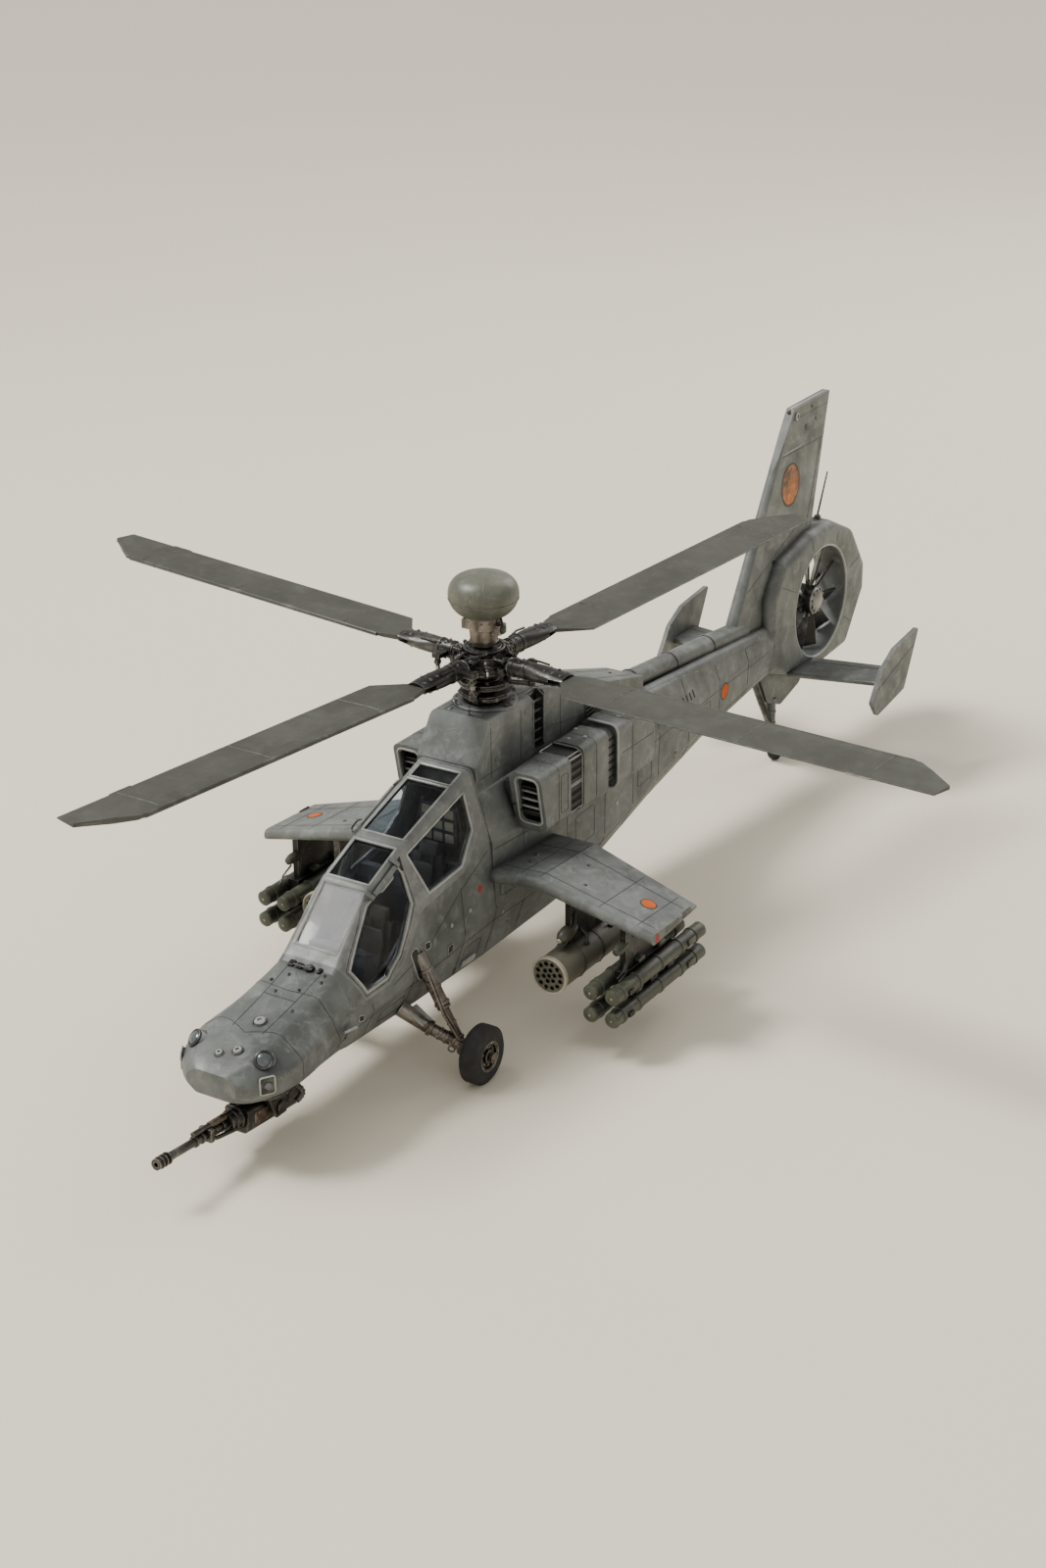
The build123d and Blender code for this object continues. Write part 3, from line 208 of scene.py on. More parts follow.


# Base, light and dark colours, then roughness, edge wear and painted edge highlight, grain and metallic.
PAINTS = {
    "airframe_paint": ((0.15, 0.163, 0.156), (0.3, 0.318, 0.305), (0.066, 0.073, 0.069), 0.5, 0.5, 1.3, 0),
    # The hull paint made much lighter for rims and raised fittings: painted highlight where they catch the
    # light.
    "painted_highlight_trim": ((0.38, 0.395, 0.38), (0.54, 0.56, 0.54), (0.22, 0.23, 0.22), 0.42, 0.5, 2, 0),
    "frame_paint": ((0.2, 0.21, 0.202), (0.34, 0.355, 0.345), (0.105, 0.112, 0.106), 0.45, 0.5, 2, 0),
    "radome_paint": ((0.125, 0.13, 0.1), (0.21, 0.215, 0.175), (0.07, 0.073, 0.056), 0.4, 0.5, 1.5, 0),
    "blade_paint": ((0.056, 0.058, 0.047), (0.092, 0.095, 0.08), (0.034, 0.035, 0.028), 0.55, 0.35, 1, 0),
    "pod_paint": ((0.15, 0.14, 0.105), (0.27, 0.25, 0.19), (0.09, 0.085, 0.06), 0.42, 0.7, 1, 0),
    "missile_paint": ((0.062, 0.068, 0.045), (0.16, 0.165, 0.12), (0.03, 0.033, 0.022), 0.45, 0.8, 1, 0),
    "cockpit_dark": ((0.04, 0.045, 0.052), (0.11, 0.12, 0.13), (0.016, 0.018, 0.021), 0.6, 0.5, 3, 0),
    "seat_cloth": ((0.085, 0.082, 0.068), (0.15, 0.145, 0.125), (0.03, 0.03, 0.026), 0.85, 0.2, 1, 0),
    "dark_metal": ((0.055, 0.055, 0.052), (0.3, 0.29, 0.27), (0.022, 0.022, 0.021), 0.36, 0.9, 1, 0.7),
    "bright_metal": ((0.22, 0.2, 0.175), (0.5, 0.47, 0.43), (0.1, 0.075, 0.055), 0.34, 0.9, 1, 0.75),
    "gun_metal": ((0.1, 0.096, 0.088), (0.42, 0.39, 0.35), (0.045, 0.042, 0.038), 0.34, 0.9, 1, 0.8),
    "grille_dark": ((0.018, 0.018, 0.018), (0.05, 0.05, 0.048), (0.009, 0.009, 0.009), 0.6, 0.5, 1, 0),
    "tyre": ((0.022, 0.022, 0.021), (0.06, 0.058, 0.052), (0.012, 0.012, 0.011), 0.78, 0.4, 1, 0),
    "sensor_glass": ((0.1, 0.115, 0.12), (0.26, 0.29, 0.3), (0.05, 0.06, 0.065), 0.16, 0.3, 1, 0),
    "fastener_steel": ((0.3, 0.295, 0.28), (0.5, 0.5, 0.48), (0.15, 0.145, 0.135), 0.35, 0.5, 1, 0.9),
    "cockpit_bezels": ((0.3, 0.27, 0.2), (0.42, 0.39, 0.31), (0.16, 0.14, 0.1), 0.5, 0.5, 1, 0),
    "blade_edges": ((0.045, 0.046, 0.038), (0.2, 0.195, 0.17), (0.035, 0.036, 0.03), 0.42, 0.9, 1, 0),
    # The pod paint made lighter for the pod's rims and tips: painted highlight.
    "painted_highlight_pod_rims": ((0.42, 0.39, 0.3), (0.62, 0.59, 0.5), (0.2, 0.18, 0.13), 0.4, 0.5, 1, 0),
    "worn_covers": ((0.33, 0.28, 0.21), (0.55, 0.5, 0.42), (0.1, 0.055, 0.03), 0.36, 0.5, 1, 0.7),
    "orange_disc": ((0.6, 0.11, 0), (0.64, 0.16, 0.004), (0.42, 0.06, 0), 0.75, 0.1, 1, 0),
    "oval_patch": ((0.55, 0.15, 0.01), (0.74, 0.36, 0.03), (0.055, 0.02, 0.008), 0.5, 0.1, 5, 0),
    "marking_rim": ((0.03, 0.022, 0.018), (0.07, 0.05, 0.035), (0.015, 0.012, 0.01), 0.5, 0.2, 1, 0),
    "port_lamp_red": ((0.42, 0.04, 0.028), (0.58, 0.15, 0.11), (0.22, 0.02, 0.015), 0.3, 0.2, 1, 0),
    "starboard_lamp_green": ((0.03, 0.28, 0.1), (0.1, 0.42, 0.2), (0.02, 0.16, 0.06), 0.3, 0.2, 1, 0),
}
for look, values in PAINTS.items():
    painted(look, *values)


def tinted_glass():
    s = Shade("canopy_glass")
    smear = s.ramp(s.noise(60, 5, 0.6, stretch=(1.0, 1.0, 0.3)), 0.35, 0.7)
    s.set(Base_Color=s.mix(smear, (0.74, 0.8, 0.88), (0.9, 0.94, 0.98)))
    s.set(Roughness=s.ramp(smear, 0.0, 1.0, 0.01, 0.06), Transmission_Weight=1.0, IOR=1.16)
    s.bump(s.noise(55, 2, 0.5), 0.25, 0.6 * MM)


tinted_glass()

# Each slot's material bears the slot's name.
for part in frame["record"]["subparts"]:
    node = NODES[part["node"]]
    node.data.materials.clear()
    node.data.materials.append(LOOKS[part["material_slot"]])

# ---- floor
floor_mesh = bpy.data.meshes.new("floor")
floor_bm = bmesh.new()
bmesh.ops.create_grid(floor_bm, x_segments=2, y_segments=2, size=6)
floor_bm.to_mesh(floor_mesh)
floor = bpy.data.objects.new("floor", floor_mesh)
bpy.context.scene.collection.objects.link(floor)
s = Shade("floor")
s.set(Base_Color=s.mix(s.noise(3, 3), (0.79, 0.725, 0.59), (0.82, 0.76, 0.63)), Roughness=0.8)
floor_mesh.materials.append(s.material)

# ---- mesh helpers, in millimetres
SHARP_ANGLE = math.radians(38)
AHEAD = Vector((1, 0, 0))
PORT = Vector((0, 1, 0))
UP = Vector((0, 0, 1))


def spokes(count, first=0.0, across=AHEAD, up=PORT):
    """Unit vectors spread evenly round a circle, from an angle in radians."""
    for step in range(count):
        turn = first + 2 * math.pi * step / count
        yield across * math.cos(turn) + up * math.sin(turn)


def collar(foot, crest, half_crest, half_foot):
    """The lathe profile of a band with chamfered edges."""
    return [(foot, -half_foot), (crest, -half_crest), (crest, half_crest), (foot, half_foot)]


def button(radius, rise, flat, top, sink=0):
    """The lathe profile of a disc with a chamfered top."""
    return [(radius, -sink), (radius, rise), (flat, top), (0, top)]


def perpendiculars(axis):
    """Two unit vectors square to an axis and to each other."""
    axis = Vector(axis).normalized()
    first = axis.orthogonal().normalized()
    return first, axis.cross(first)


def plane_axes(out, along):
    """Unit vectors out of a plane, along it near a wanted way, and across it."""
    out = Vector(out).normalized()
    along = Vector(along)
    along = (along - out * along.dot(out)).normalized()
    return out, along, out.cross(along)


def rounded(width, height, corner, steps=4):
    """The outline of a rounded rectangle about the origin."""
    points = []
    corner = min(corner, width / 2 - 0.01, height / 2 - 0.01)
    for quarter, (sx, sy) in enumerate(((1, 1), (-1, 1), (-1, -1), (1, -1))):
        for step in range(steps + 1):
            turn = math.radians(90 * (quarter + step / steps))
            x = sx * (width / 2 - corner) + corner * math.cos(turn)
            y = sy * (height / 2 - corner) + corner * math.sin(turn)
            points.append((x, y))
    return points


class Piece:
    """Small closed shapes gathered into one object that rides on one body."""

    def __init__(self):
        self.bm = bmesh.new()

    def skin(self, rings, loop=False):
        """Closed surface over rings of points; a ring of one point is a tip, and a loop has no ends."""
        made = [[self.bm.verts.new(point) for point in ring] for ring in rings]
        pairs = list(zip(made, made[1:]))
        if loop:
            pairs.append((made[-1], made[0]))
        for a, b in pairs:
            for i in range(max(len(a), len(b))):
                corners = (a[i % len(a)], a[(i + 1) % len(a)], b[(i + 1) % len(b)], b[i % len(b)])
                corners = list(dict.fromkeys(corners))
                if len(corners) > 2:
                    self.bm.faces.new(corners)
        if not loop:
            for ring in (made[0], made[-1]):
                if len(ring) > 2:
                    self.bm.faces.new(ring)

    def tube(self, points, radius, sides=8, loop=False):
        """A round bar along points; radius is one number or one for each point."""
        points = [Vector(p) for p in points]
        last = len(points) - 1
        normal = None
        rings = []
        for i, point in enumerate(points):
            ahead = points[(i + 1) % len(points)] if loop or i < last else point
            behind = points[i - 1] if loop or i else point
            forward = (ahead - behind).normalized()
            normal = forward.orthogonal() if normal is None else normal
            normal = (normal - forward * normal.dot(forward)).normalized()
            across = forward.cross(normal)
            size = radius[i] if isinstance(radius, (list, tuple)) else radius
            rings.append([point + way * size for way in spokes(sides, 0, normal, across)])
        self.skin(rings, loop)

    def lathe(self, profile, centre, axis, sides=24, stretch=1.0):
        """A turned shape: profile holds (radius, height along the axis)."""
        axis = Vector(axis).normalized()
        first, second = perpendiculars(axis)
        rings = []
        for radius, height in profile:
            middle = Vector(centre) + axis * height
            if radius < 1e-4:
                rings.append([middle])
                continue
            rings.append([middle + way * radius for way in spokes(sides, 0, first * stretch, second)])
        self.skin(rings)

    def dome(self, centre, axis, radius, height, sink=0.3, sides=12):
        self.lathe(
            [(radius, -sink), (radius, 0), (radius * 0.75, height * 0.7), (0, height)], centre, axis, sides
        )

    def bolt(self, centre, axis, radius=0.45, height=0.4):
        """A hexagonal head on a washer."""
        self.lathe([(radius * 1.4, -0.3), (radius * 1.4, 0.1), (0, 0.1)], centre, axis, 14)
        self.lathe(
            [(radius, 0), (radius, height * 0.8), (radius * 0.8, height), (0, height)], centre, axis, 6
        )

    def ring(self, centre, axis, radius, thick, sides=8, around=36, stretch=1.0):
        """A round hoop, or an oval one."""
        first, second = perpendiculars(axis)
        arms = spokes(around, 0, first * stretch, second)
        self.tube([Vector(centre) + arm * radius for arm in arms], thick, sides, loop=True)

    def pad(self, place, out, along, size, height, corner=0.4, sink=0.4):
        """A thin plate with rounded corners and an eased top edge, lying on a surface."""
        out, along, across = plane_axes(out, along)
        ease = min(0.2, height * 0.6)
        rings = []
        for lift, shrink in ((-sink, 0.0), (height - ease, 0.0), (height, ease)):
            edge = rounded(size[0] - 2 * shrink, size[1] - 2 * shrink, corner)
            rings.append([Vector(place) + out * lift + along * u + across * v for u, v in edge])
        self.skin(rings)

    def frame(self, place, out, along, size, corner, thick):
        """A rounded rectangular rim, as a bent round bar."""
        out, along, across = plane_axes(out, along)
        points = [Vector(place) + along * u + across * v for u, v in rounded(size[0], size[1], corner)]
        self.tube(points, thick, 8, loop=True)

    def block(self, centre, size, ease=0.2, tilt=None):
        """A box with eased edges; tilt is (degrees, axis)."""
        part = bmesh.new()
        bmesh.ops.create_cube(part, size=1)
        bmesh.ops.scale(part, vec=size, verts=part.verts)
        bmesh.ops.bevel(part, geom=part.edges[:], offset=ease, segments=2, profile=0.5, affect="EDGES")
        turn = Matrix.Rotation(math.radians(tilt[0]), 4, tilt[1]) if tilt else Matrix()
        bmesh.ops.transform(part, matrix=Matrix.Translation(centre) @ turn, verts=part.verts)
        mesh = bpy.data.meshes.new("block")
        part.to_mesh(mesh)
        part.free()
        self.bm.from_mesh(mesh)
        bpy.data.meshes.remove(mesh)

    def finish(self, name, look, body="airframe"):
        """Make the object, in metres, let it ride on its body and give it its look's material."""
        bmesh.ops.recalc_face_normals(self.bm, faces=self.bm.faces)
        bmesh.ops.scale(self.bm, vec=(MM, MM, MM), verts=self.bm.verts)
        mesh = bpy.data.meshes.new(name)
        self.bm.to_mesh(mesh)
        self.bm.free()
        mesh.shade_smooth()
        mesh.set_sharp_from_angle(angle=SHARP_ANGLE)
        mesh.materials.append(LOOKS[look])
        made = bpy.data.objects.new(name, mesh)
        bpy.context.scene.collection.objects.link(made)
        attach(made, body)


class Skin:
    """The outer surface of some CAD nodes, for laying things on it."""

    def __init__(self, *names):
        points = []
        faces = []
        for name in names:
            mesh = NODES[name].data
            base = len(points)
            points += [v.co / MM for v in mesh.vertices]
            faces += [tuple(base + i for i in p.vertices) for p in mesh.polygons]
        self.tree = BVHTree.FromPolygons(points, faces)

    def hit(self, start, way):
        place, normal, _, _ = self.tree.ray_cast(Vector(start), Vector(way).normalized())
        return (place, normal) if place is not None else None

    def side(self, sign):
        """Lays (x, z) on the port (+1) or starboard (-1) side."""
        return lambda x, z: self.hit((x, 120 * sign, z), (0, -sign, 0))

    def top(self, x, y):
        return self.hit((x, y, 200), (0, 0, -1))

    def belly(self, x, y):
        return self.hit((x, y, -20), (0, 0, 1))

    def around(self, centre_y, centre_z):
        """Lays (x, degrees round the X axis from port) on the surface about a line."""

        def lay(x, degrees):
            turn = math.radians(degrees)
            arm = Vector((0, math.cos(turn), math.sin(turn)))
            centre = Vector((x, centre_y, centre_z))
            return self.hit(centre + arm * 60, -arm)

        return lay


def walk(path, pitch):
    """Points every pitch along a path of 2-D points."""
    made = []
    for a, b in zip(path, path[1:]):
        length = math.hypot(b[0] - a[0], b[1] - a[1])
        steps = max(1, round(length / pitch))
        for step in range(steps):
            share = step / steps
            made.append((a[0] + (b[0] - a[0]) * share, a[1] + (b[1] - a[1]) * share))
    return made + [path[-1]]


SEAM_R = 0.13
RIVET_R = 0.24
seams = Piece()
rivets = Piece()


def seam(lay, path, rivet_gap=1.1, pitch=2.0, rivet_pitch=3.2):
    """A panel joint laid on a surface, with a row of rivets beside it."""
    run = []
    for spot in walk(path, pitch):
        found = lay(*spot)
        jumped = found and run and (found[0] - run[-1]).length > 4 * pitch
        if found is None or jumped:
            if len(run) > 1:
                seams.tube(run, SEAM_R, 5)
            run = []
        if found:
            run.append(found[0] - found[1] * 0.02)
    if len(run) > 1:
        seams.tube(run, SEAM_R, 5)
    if rivet_gap is None:
        return
    for a, b in zip(path, path[1:]):
        length = math.hypot(b[0] - a[0], b[1] - a[1])
        off = (-(b[1] - a[1]) / length * rivet_gap, (b[0] - a[0]) / length * rivet_gap)
        for spot in walk([a, b], rivet_pitch)[:-1]:
            found = lay(spot[0] + off[0], spot[1] + off[1])
            if found:
                rivets.dome(*found, RIVET_R, 0.13, 0.1, 7)


def hatch(lay, low, high, corner):
    """A rounded access panel's joint with its screws."""
    middle = ((low[0] + high[0]) / 2, (low[1] + high[1]) / 2)
    size = (high[0] - low[0], high[1] - low[1])
    edge = [(middle[0] + u, middle[1] + v) for u, v in rounded(*size, corner)]
    seam(lay, edge + edge[:1], None, 1.5)
    for u, v in rounded(size[0] - 2, size[1] - 2, corner, 1):
        found = lay(middle[0] + u, middle[1] + v)
        if found:
            rivets.dome(*found, RIVET_R, 0.13, 0.1, 7)


def decal(name, lay, centre, radii, look, lift=0.06, rings=5, around=32):
    """A thin round or oval marking that follows the surface."""
    piece = Piece()
    made = []
    skirt = [(1.0, -0.15)] + [(1 - i / rings, lift) for i in range(rings)]
    for share, height in skirt:
        ring = []
        for way in spokes(around):
            found = lay(centre[0] + radii[0] * share * way.x, centre[1] + radii[1] * share * way.y)
            ring.append(found[0] + found[1] * height)
        made.append(ring)
    place, out = lay(*centre)
    made.append([place + out * lift])
    piece.skin(made)
    piece.finish(name, look)


# ---- panel joints and rivets
SIDES = ((1, "left"), (-1, "right"))
body_skin = Skin("fuselage_left", "fuselage_right", "nose_shell", "tail_boom")
nose_skin = Skin("nose_shell")
pylon_skin = Skin("mast_pylon")
fin_skin = Skin("tail_fin")
shroud_skin = Skin("fan_shroud")

NOSE_LINE = 189
HOOD_LINE = 168.8
nose_around = nose_skin.around(0, 32)
for side, start, bulge in ((1, -25, 4), (-1, 205, -4)):
    seam(
        nose_around, [(NOSE_LINE + 3.5, 90), (NOSE_LINE, 90 - side * 40), (NOSE_LINE + 1, start)], 1.2, 3, 6
    )
    hood = [(HOOD_LINE + 1.5, 90), (HOOD_LINE, 90 - side * 70), (HOOD_LINE - 6, start - bulge)]
    seam(nose_around, hood, -1.4, 3, 6)
for y in (-6.5, 6.5):
    seam(nose_skin.top, [(160.5, y), (191, y * 0.9)])
seam(nose_skin.top, [(174, -6.4), (174, 6.4)])

# Upright joints of the hull as (x, low z, high z), and its hatches as (low corner, high corner, round).
HULL_JOINTS = ((148, 23, 36), (126, 22, 40), (96, 21, 56), (77, 21, 81), (58, 22, 80), (30, 23, 80))
BOOM_JOINTS = ((2, 27, 79), (-22, 31, 76), (-44.6, 35, 75), (-72, 39, 72), (-101, 42, 70), (-128, 45, 67))
HATCHES = (
    ((61, 44), (74, 55), 1.5),
    ((83, 24), (93, 32), 1.5),
    ((10, 42), (24, 54), 1.5),
    ((-38, 46), (-26, 55), 1.5),
    ((-92, 51), (-79, 57), 1),
    ((128, 25), (142, 30), 1.5),
)
fan_low, fan_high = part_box("tail_fan")
fan = (fan_low + fan_high) / 2 / MM
for side, name in SIDES:
    lay = body_skin.side(side)
    for x, low, high in HULL_JOINTS + BOOM_JOINTS:
        seam(lay, [(x, low), (x, high)], 1.2)
    seam(lay, [(157, 31), (77, 36), (2, 35), (-45, 41), (-148, 49.5)], 1.2, 2.5)
    seam(lay, [(76, 62.5), (2, 58.5), (-45, 59), (-148, 57.5)], -1.2, 2.5)
    seam(lay, [(136, 37.5), (117, 43), (96, 55), (79, 63)], 1.2)
    seam(nose_skin.side(side), [(161, 29.5), (176, 27.5), (196, 28)])
    for low, high, corner in HATCHES:
        hatch(lay, low, high, corner)
    lay = pylon_skin.side(side)
    for x, low, high in ((67, 84, 104), (22, 84, 99), (-12, 80, 91), (48, 84, 104)):
        seam(lay, [(x, low), (x, high)])
    seam(lay, [(75, 86), (41, 86)])
    seam(lay, [(32, 90), (-38, 80)])
    seam(pylon_skin.top, [(66, side * 7.5), (10, side * 7), (-40, side * 4.5)], side * 1.1)
    for x in (30, -12):
        seam(pylon_skin.top, [(x, 0), (x, side * 8)])
    nacelle_skin = Skin(f"nacelle_{name}")
    lay = nacelle_skin.around(side * 22, 76)
    for x in (53, 28, 2):
        seam(lay, [(x, 90 - side * 150), (x, 90 + side * 30)], 1.1, 5, 10)
    lay = nacelle_skin.side(side)
    seam(lay, [(-13, 76), (9, 76)])
    hatch(lay, (47, 69), (51.5, 83), 1)
    wing = Skin(f"stub_wing_{name}")
    for y, back_x, front_x in ((30, 44, 77), (37.5, 45, 77.5), (60, 45, 76), (74, 46.5, 74.5)):
        seam(wing.top, [(back_x, side * y), (front_x, side * y)])
    seam(wing.top, [(50.5, side * 21), (51.5, side * 79)])
    seam(wing.top, [(73, side * 21), (73.5, side * 38), (71, side * 79)])
    seam(wing.belly, [(62, side * 22), (62, side * 79)])
    lay = fin_skin.side(side)
    seam(lay, [(-164.5, 134.2), (-203.5, 134.2)])
    seam(lay, [(-188.5, 100), (-193, 112), (-200, 133.5)])
    seam(lay, [(-133, 84), (-186, 104)])
    seam(lay, [(-174.5, 147.5), (-206, 147.5)])
    lay = shroud_skin.side(side)
    for degrees in (25, 70, 118, 165, 212, 262, 310):
        turn = math.radians(degrees)
        seam(lay, [(fan.x + r * math.cos(turn), fan.z + r * math.sin(turn)) for r in (26.5, 40)])
    seam(Skin("end_plates").side(side), [(-199, 55), (-162, 45)])
    seam(Skin("tailplane").top, [(-184, side * 10), (-184, side * 48)])
seam(shroud_skin.around(0, 65), [(-150, 90), (-236, 90)], 1.1, 2, 4)
seams.finish("panel_joints", "grille_dark")
rivets.finish("airframe_rivets", "airframe_paint")

# ---- plain markings
for side, name in SIDES:
    wing_top = Skin(f"stub_wing_{name}").top
    boom_side = Skin("tail_boom").side(side)
    for label, lay, centre, radii, rim, ink in (
        ("wing_disc", wing_top, (59.5, side * 69.8), (2.45, 2.45), 0.55, "orange_disc"),
        ("boom_disc", boom_side, (-105.7, 55.8), (3, 3), 0.6, "orange_disc"),
        ("fin_oval", fin_skin.side(side), (-173.6, 121), (7.2, 8.2), 1, "oval_patch"),
    ):
        decal(f"{label}_rim_{name}", lay, centre, (radii[0] + rim, radii[1] + rim), "marking_rim", 0.05)
        decal(f"{label}_{name}", lay, centre, radii, ink, 0.09)
    decal(f"root_dot_{name}", body_skin.side(side), (85.4, 51.5), (1.3, 1.3), "port_lamp_red", 0.06, 3, 20)

# ---- nose
nose_dark = Piece()
# Rims, frames and probes in the highlight trim paint: painted highlight.
nose_highlit = Piece()
nose_glass = Piece()
for side, _ in SIDES:
    turned = Vector((0.62, 0.45 * side, 0.64)).normalized()
    place = Vector((200.6, 13.6 * side, 39.6))
    nose_dark.ring(place, turned, 2.7, 0.45)
    nose_highlit.lathe([(3.1, -2.5), (3, -0.7), (2.5, -0.2), (0, -0.2)], place, turned, 28)
    nose_glass.lathe([(2.3, -0.3), (2.2, 0.35), (1.4, 0.85), (0, 1.05)], place, turned, 24)
    place, out = nose_skin.hit((240, 40 * side, 34), (-37, -23.5 * side, -1.2))
    nose_highlit.frame(place, out, UP, (6, 5), 0.8, 0.3)
    nose_dark.pad(place, out, UP, (5.6, 4.6), 0.12, 0.7, 1.2)
    nose_glass.dome(place + out * 0.15, out, 1.5, 0.7)
for x, y, size in ((186.3, 1.5, 1.9), (200.6, 3.5, 1.5), (203.6, -1.5, 1.2)):
    place, out = nose_skin.top(x, y)
    nose_dark.ring(place, out, size * 1.25, 0.25)
    rim = [(size, -0.5), (size, 0.5), (size * 0.8, 0.9), (size * 0.5, 0.9)]
    nose_highlit.lathe(rim + [(size * 0.4, 0.4), (0, 0.4)], place, out)
for x, y in ((168, -7.6), (160.6, 8.2), (169, 4.2), (172, -3), (164, -3.5), (163.5, 9), (178, 8)):
    nose_dark.pad(*nose_skin.top(x, y), (1, 0.4, 0), (1.5, 1), 0.25, 0.3)
for x, y, size in ((159.4, -5.6, (2.6, 2.2)), (159.6, -2.4, (2.2, 2.6)), (159.4, 5.4, (2.2, 1.4))):
    nose_dark.pad(*body_skin.top(x, y), AHEAD, size, 0.9, 0.4)
place, out = body_skin.top(159.6, 1.6)
nose_dark.lathe(button(1.5, 1, 1.2, 1.3, 0.5), place, out)
nose_glass.dome(place + out * 1.25, out, 0.9, 0.35)
nose_dark.tube([(160.4, -4, 50.2), (160.8, -1, 50.4), (160.6, 3.2, 50.2)], 0.35)
for side, _ in SIDES:
    root, out = body_skin.side(side)(163, 33.6)
    tip = root + out * 2.2
    nose_highlit.tube([root - out, tip], 0.45)
    nose_highlit.tube([tip + Vector((-3.2, 0, -0.5)), tip + Vector((3.4, 0, 0.6))], [0.55, 0.4])
    place, out = body_skin.side(side)(154.5, 33.6)
    nose_dark.pad(place, out, (1, 0, 0.2), (2.2, 1.6), 0.15, 0.4)
    nose_highlit.frame(place, out, (1, 0, 0.2), (2.5, 1.9), 0.5, 0.16)
    nose_dark.pad(*body_skin.side(side)(162.6, 31.5), UP, (3.6, 0.7), 0.06, 0.3)
nose_low, nose_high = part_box("gun_turret")
turret_x = (nose_low.x + nose_high.x) / 2 / MM
nose_dark.lathe([(10.9, 0), (10.9, 1.3), (10.4, 1.6), (9.8, 1.6), (9.8, 0)], (turret_x, 0, 20.5), UP, 48)
for way in spokes(20):
    nose_dark.dome(Vector((turret_x, 0, 21.2)) + way * 10.9, way, 0.35, 0.3)
nose_dark.finish("nose_dark_fittings", "dark_metal")
nose_highlit.finish("nose_highlit_fittings", "painted_highlight_trim")
nose_glass.finish("nose_lenses", "sensor_glass")

# ---- hull side fittings
side_dark = Piece()
# Frames, buttons and the step in the highlight trim paint: painted highlight.
side_highlit = Piece()
for side, _ in SIDES:
    lay = body_skin.side(side)
    for x, z, size in (
        (117, 43.6, (2.4, 2.2)), (104.8, 37.3, (2.6, 2.6)), (66, 30.5, (1.8, 1.2)), (-60, 47, (2, 1.4))
    ):
        place, out = lay(x, z)
        side_dark.pad(place, out, AHEAD, size, 0.12, 0.5)
        side_highlit.frame(place, out, AHEAD, (size[0] + 0.3, size[1] + 0.3), 0.5, 0.15)
    for x, z in ((103, 45.1), (72, 37), (92, 46), (-8, 47)):
        side_highlit.lathe(button(0.8, 0.15, 0.5, 0.25, 0.3), *lay(x, z), 16)
    place, out = lay(123, 39.5)
    side_dark.pad(place, out, (0.25, 0, 1), (11, 3.4), 0.12, 1.2)
    side_highlit.frame(place, out, (0.25, 0, 1), (11.4, 3.8), 1.3, 0.2)
    side_highlit.pad(*lay(89, 25), AHEAD, (8, 2.8), 0.9, 0.5)
    side_dark.pad(*lay(96, 23.6), AHEAD, (1.6, 2.6), 0.15, 0.4)
    for x in (-36, -22):
        side_dark.pad(*lay(x, 66), UP, (7, 1.2), 0.1, 0.4)
    for row in range(5):
        side_dark.pad(*lay(-66 - 3 * row, 64.5), UP, (3.2, 0.9), 0.1, 0.3)
side_dark.finish("side_ports", "grille_dark")
side_highlit.finish("side_fittings", "painted_highlight_trim")

# ---- cockpit
inside = Piece()
inside_light = Piece()
screens = Piece()
cloth = Piece()
for seat_x, seat_z, panel_x, z in ((119.5, 27.5, 139, 46), (89.5, 39.5, 109.5, 58)):
    for y in (-2.6, 2.6):
        belt = [(0.6, y, 22), (3, y * 0.9, 13), (5.2, y * 0.5, 6.6)]
        cloth.tube([(seat_x + x, across, seat_z + up) for x, across, up in belt], 0.5, 6)
    cloth.pad((seat_x + 4.4, 0, seat_z + 14), (1, 0, 0.18), UP, (13, 8.4), 0.7, 1.6)
    cloth.pad((seat_x + 6, 0, seat_z + 5.6), UP, AHEAD, (6, 8.6), 0.7, 1.4)
    cloth.pad((seat_x - 0.4, 0, seat_z + 23.6), (1, 0, 0.1), UP, (4.4, 6.4), 0.8, 1.2)
    inside_light.ring((seat_x + 5.4, 0, seat_z + 6.9), (0.3, 0, 1), 0.9, 0.3)
    for y in (-5.6, 0, 5.6):
        place = Vector((panel_x - 0.9, y, z - 2.4))
        inside_light.frame(place, (-1, 0, 0.25), PORT, (4.6, 3.6), 0.5, 0.25)
        screens.pad(place, (-1, 0, 0.25), PORT, (4.2, 3.2), 0.12, 0.4)
    for index in range(9):
        place = Vector((panel_x + 0.4, -8 + 2 * index, z - 5.6))
        inside_light.lathe([(0.4, -0.2), (0.4, 0.4), (0, 0.4)], place, (-1, 0, 0.1), 10)
    inside.block((panel_x + 1.5, 0, z + 2.2), (6, 17, 1.4), 0.5, (-14, "Y"))
    for side in (1, -1):
        inside.block((seat_x + 6, side * 8.9, seat_z + 8), (20, 3, 3.2), 0.4)
        for index in range(6):
            knob = (seat_x + 0.5 + 2.4 * index, side * 8.9, seat_z + 9.5)
            inside_light.lathe([(0.45, 0), (0.4, 0.7), (0, 0.8)], knob, UP, 10)
        lever = [(13, 8.6, 9), (14, 8.2, 14), (12, 7.2, 16)]
        inside.tube([(seat_x + x, side * across, seat_z + up) for x, across, up in lever], 0.7)
inside.block((128.5, -3.4, 47.5), (4.6, 4, 4.4), 0.6, (12, "Y"))
inside_light.lathe(button(1.5, 2.2, 1.1, 2.6), (130.5, -3.4, 48), (1, 0, 0.2), 18)
for y in (-8.5, 8.5):
    inside.tube([(80.3, y, 60), (81.6, y, 70), (81, y * 0.8, 78)], 0.6)
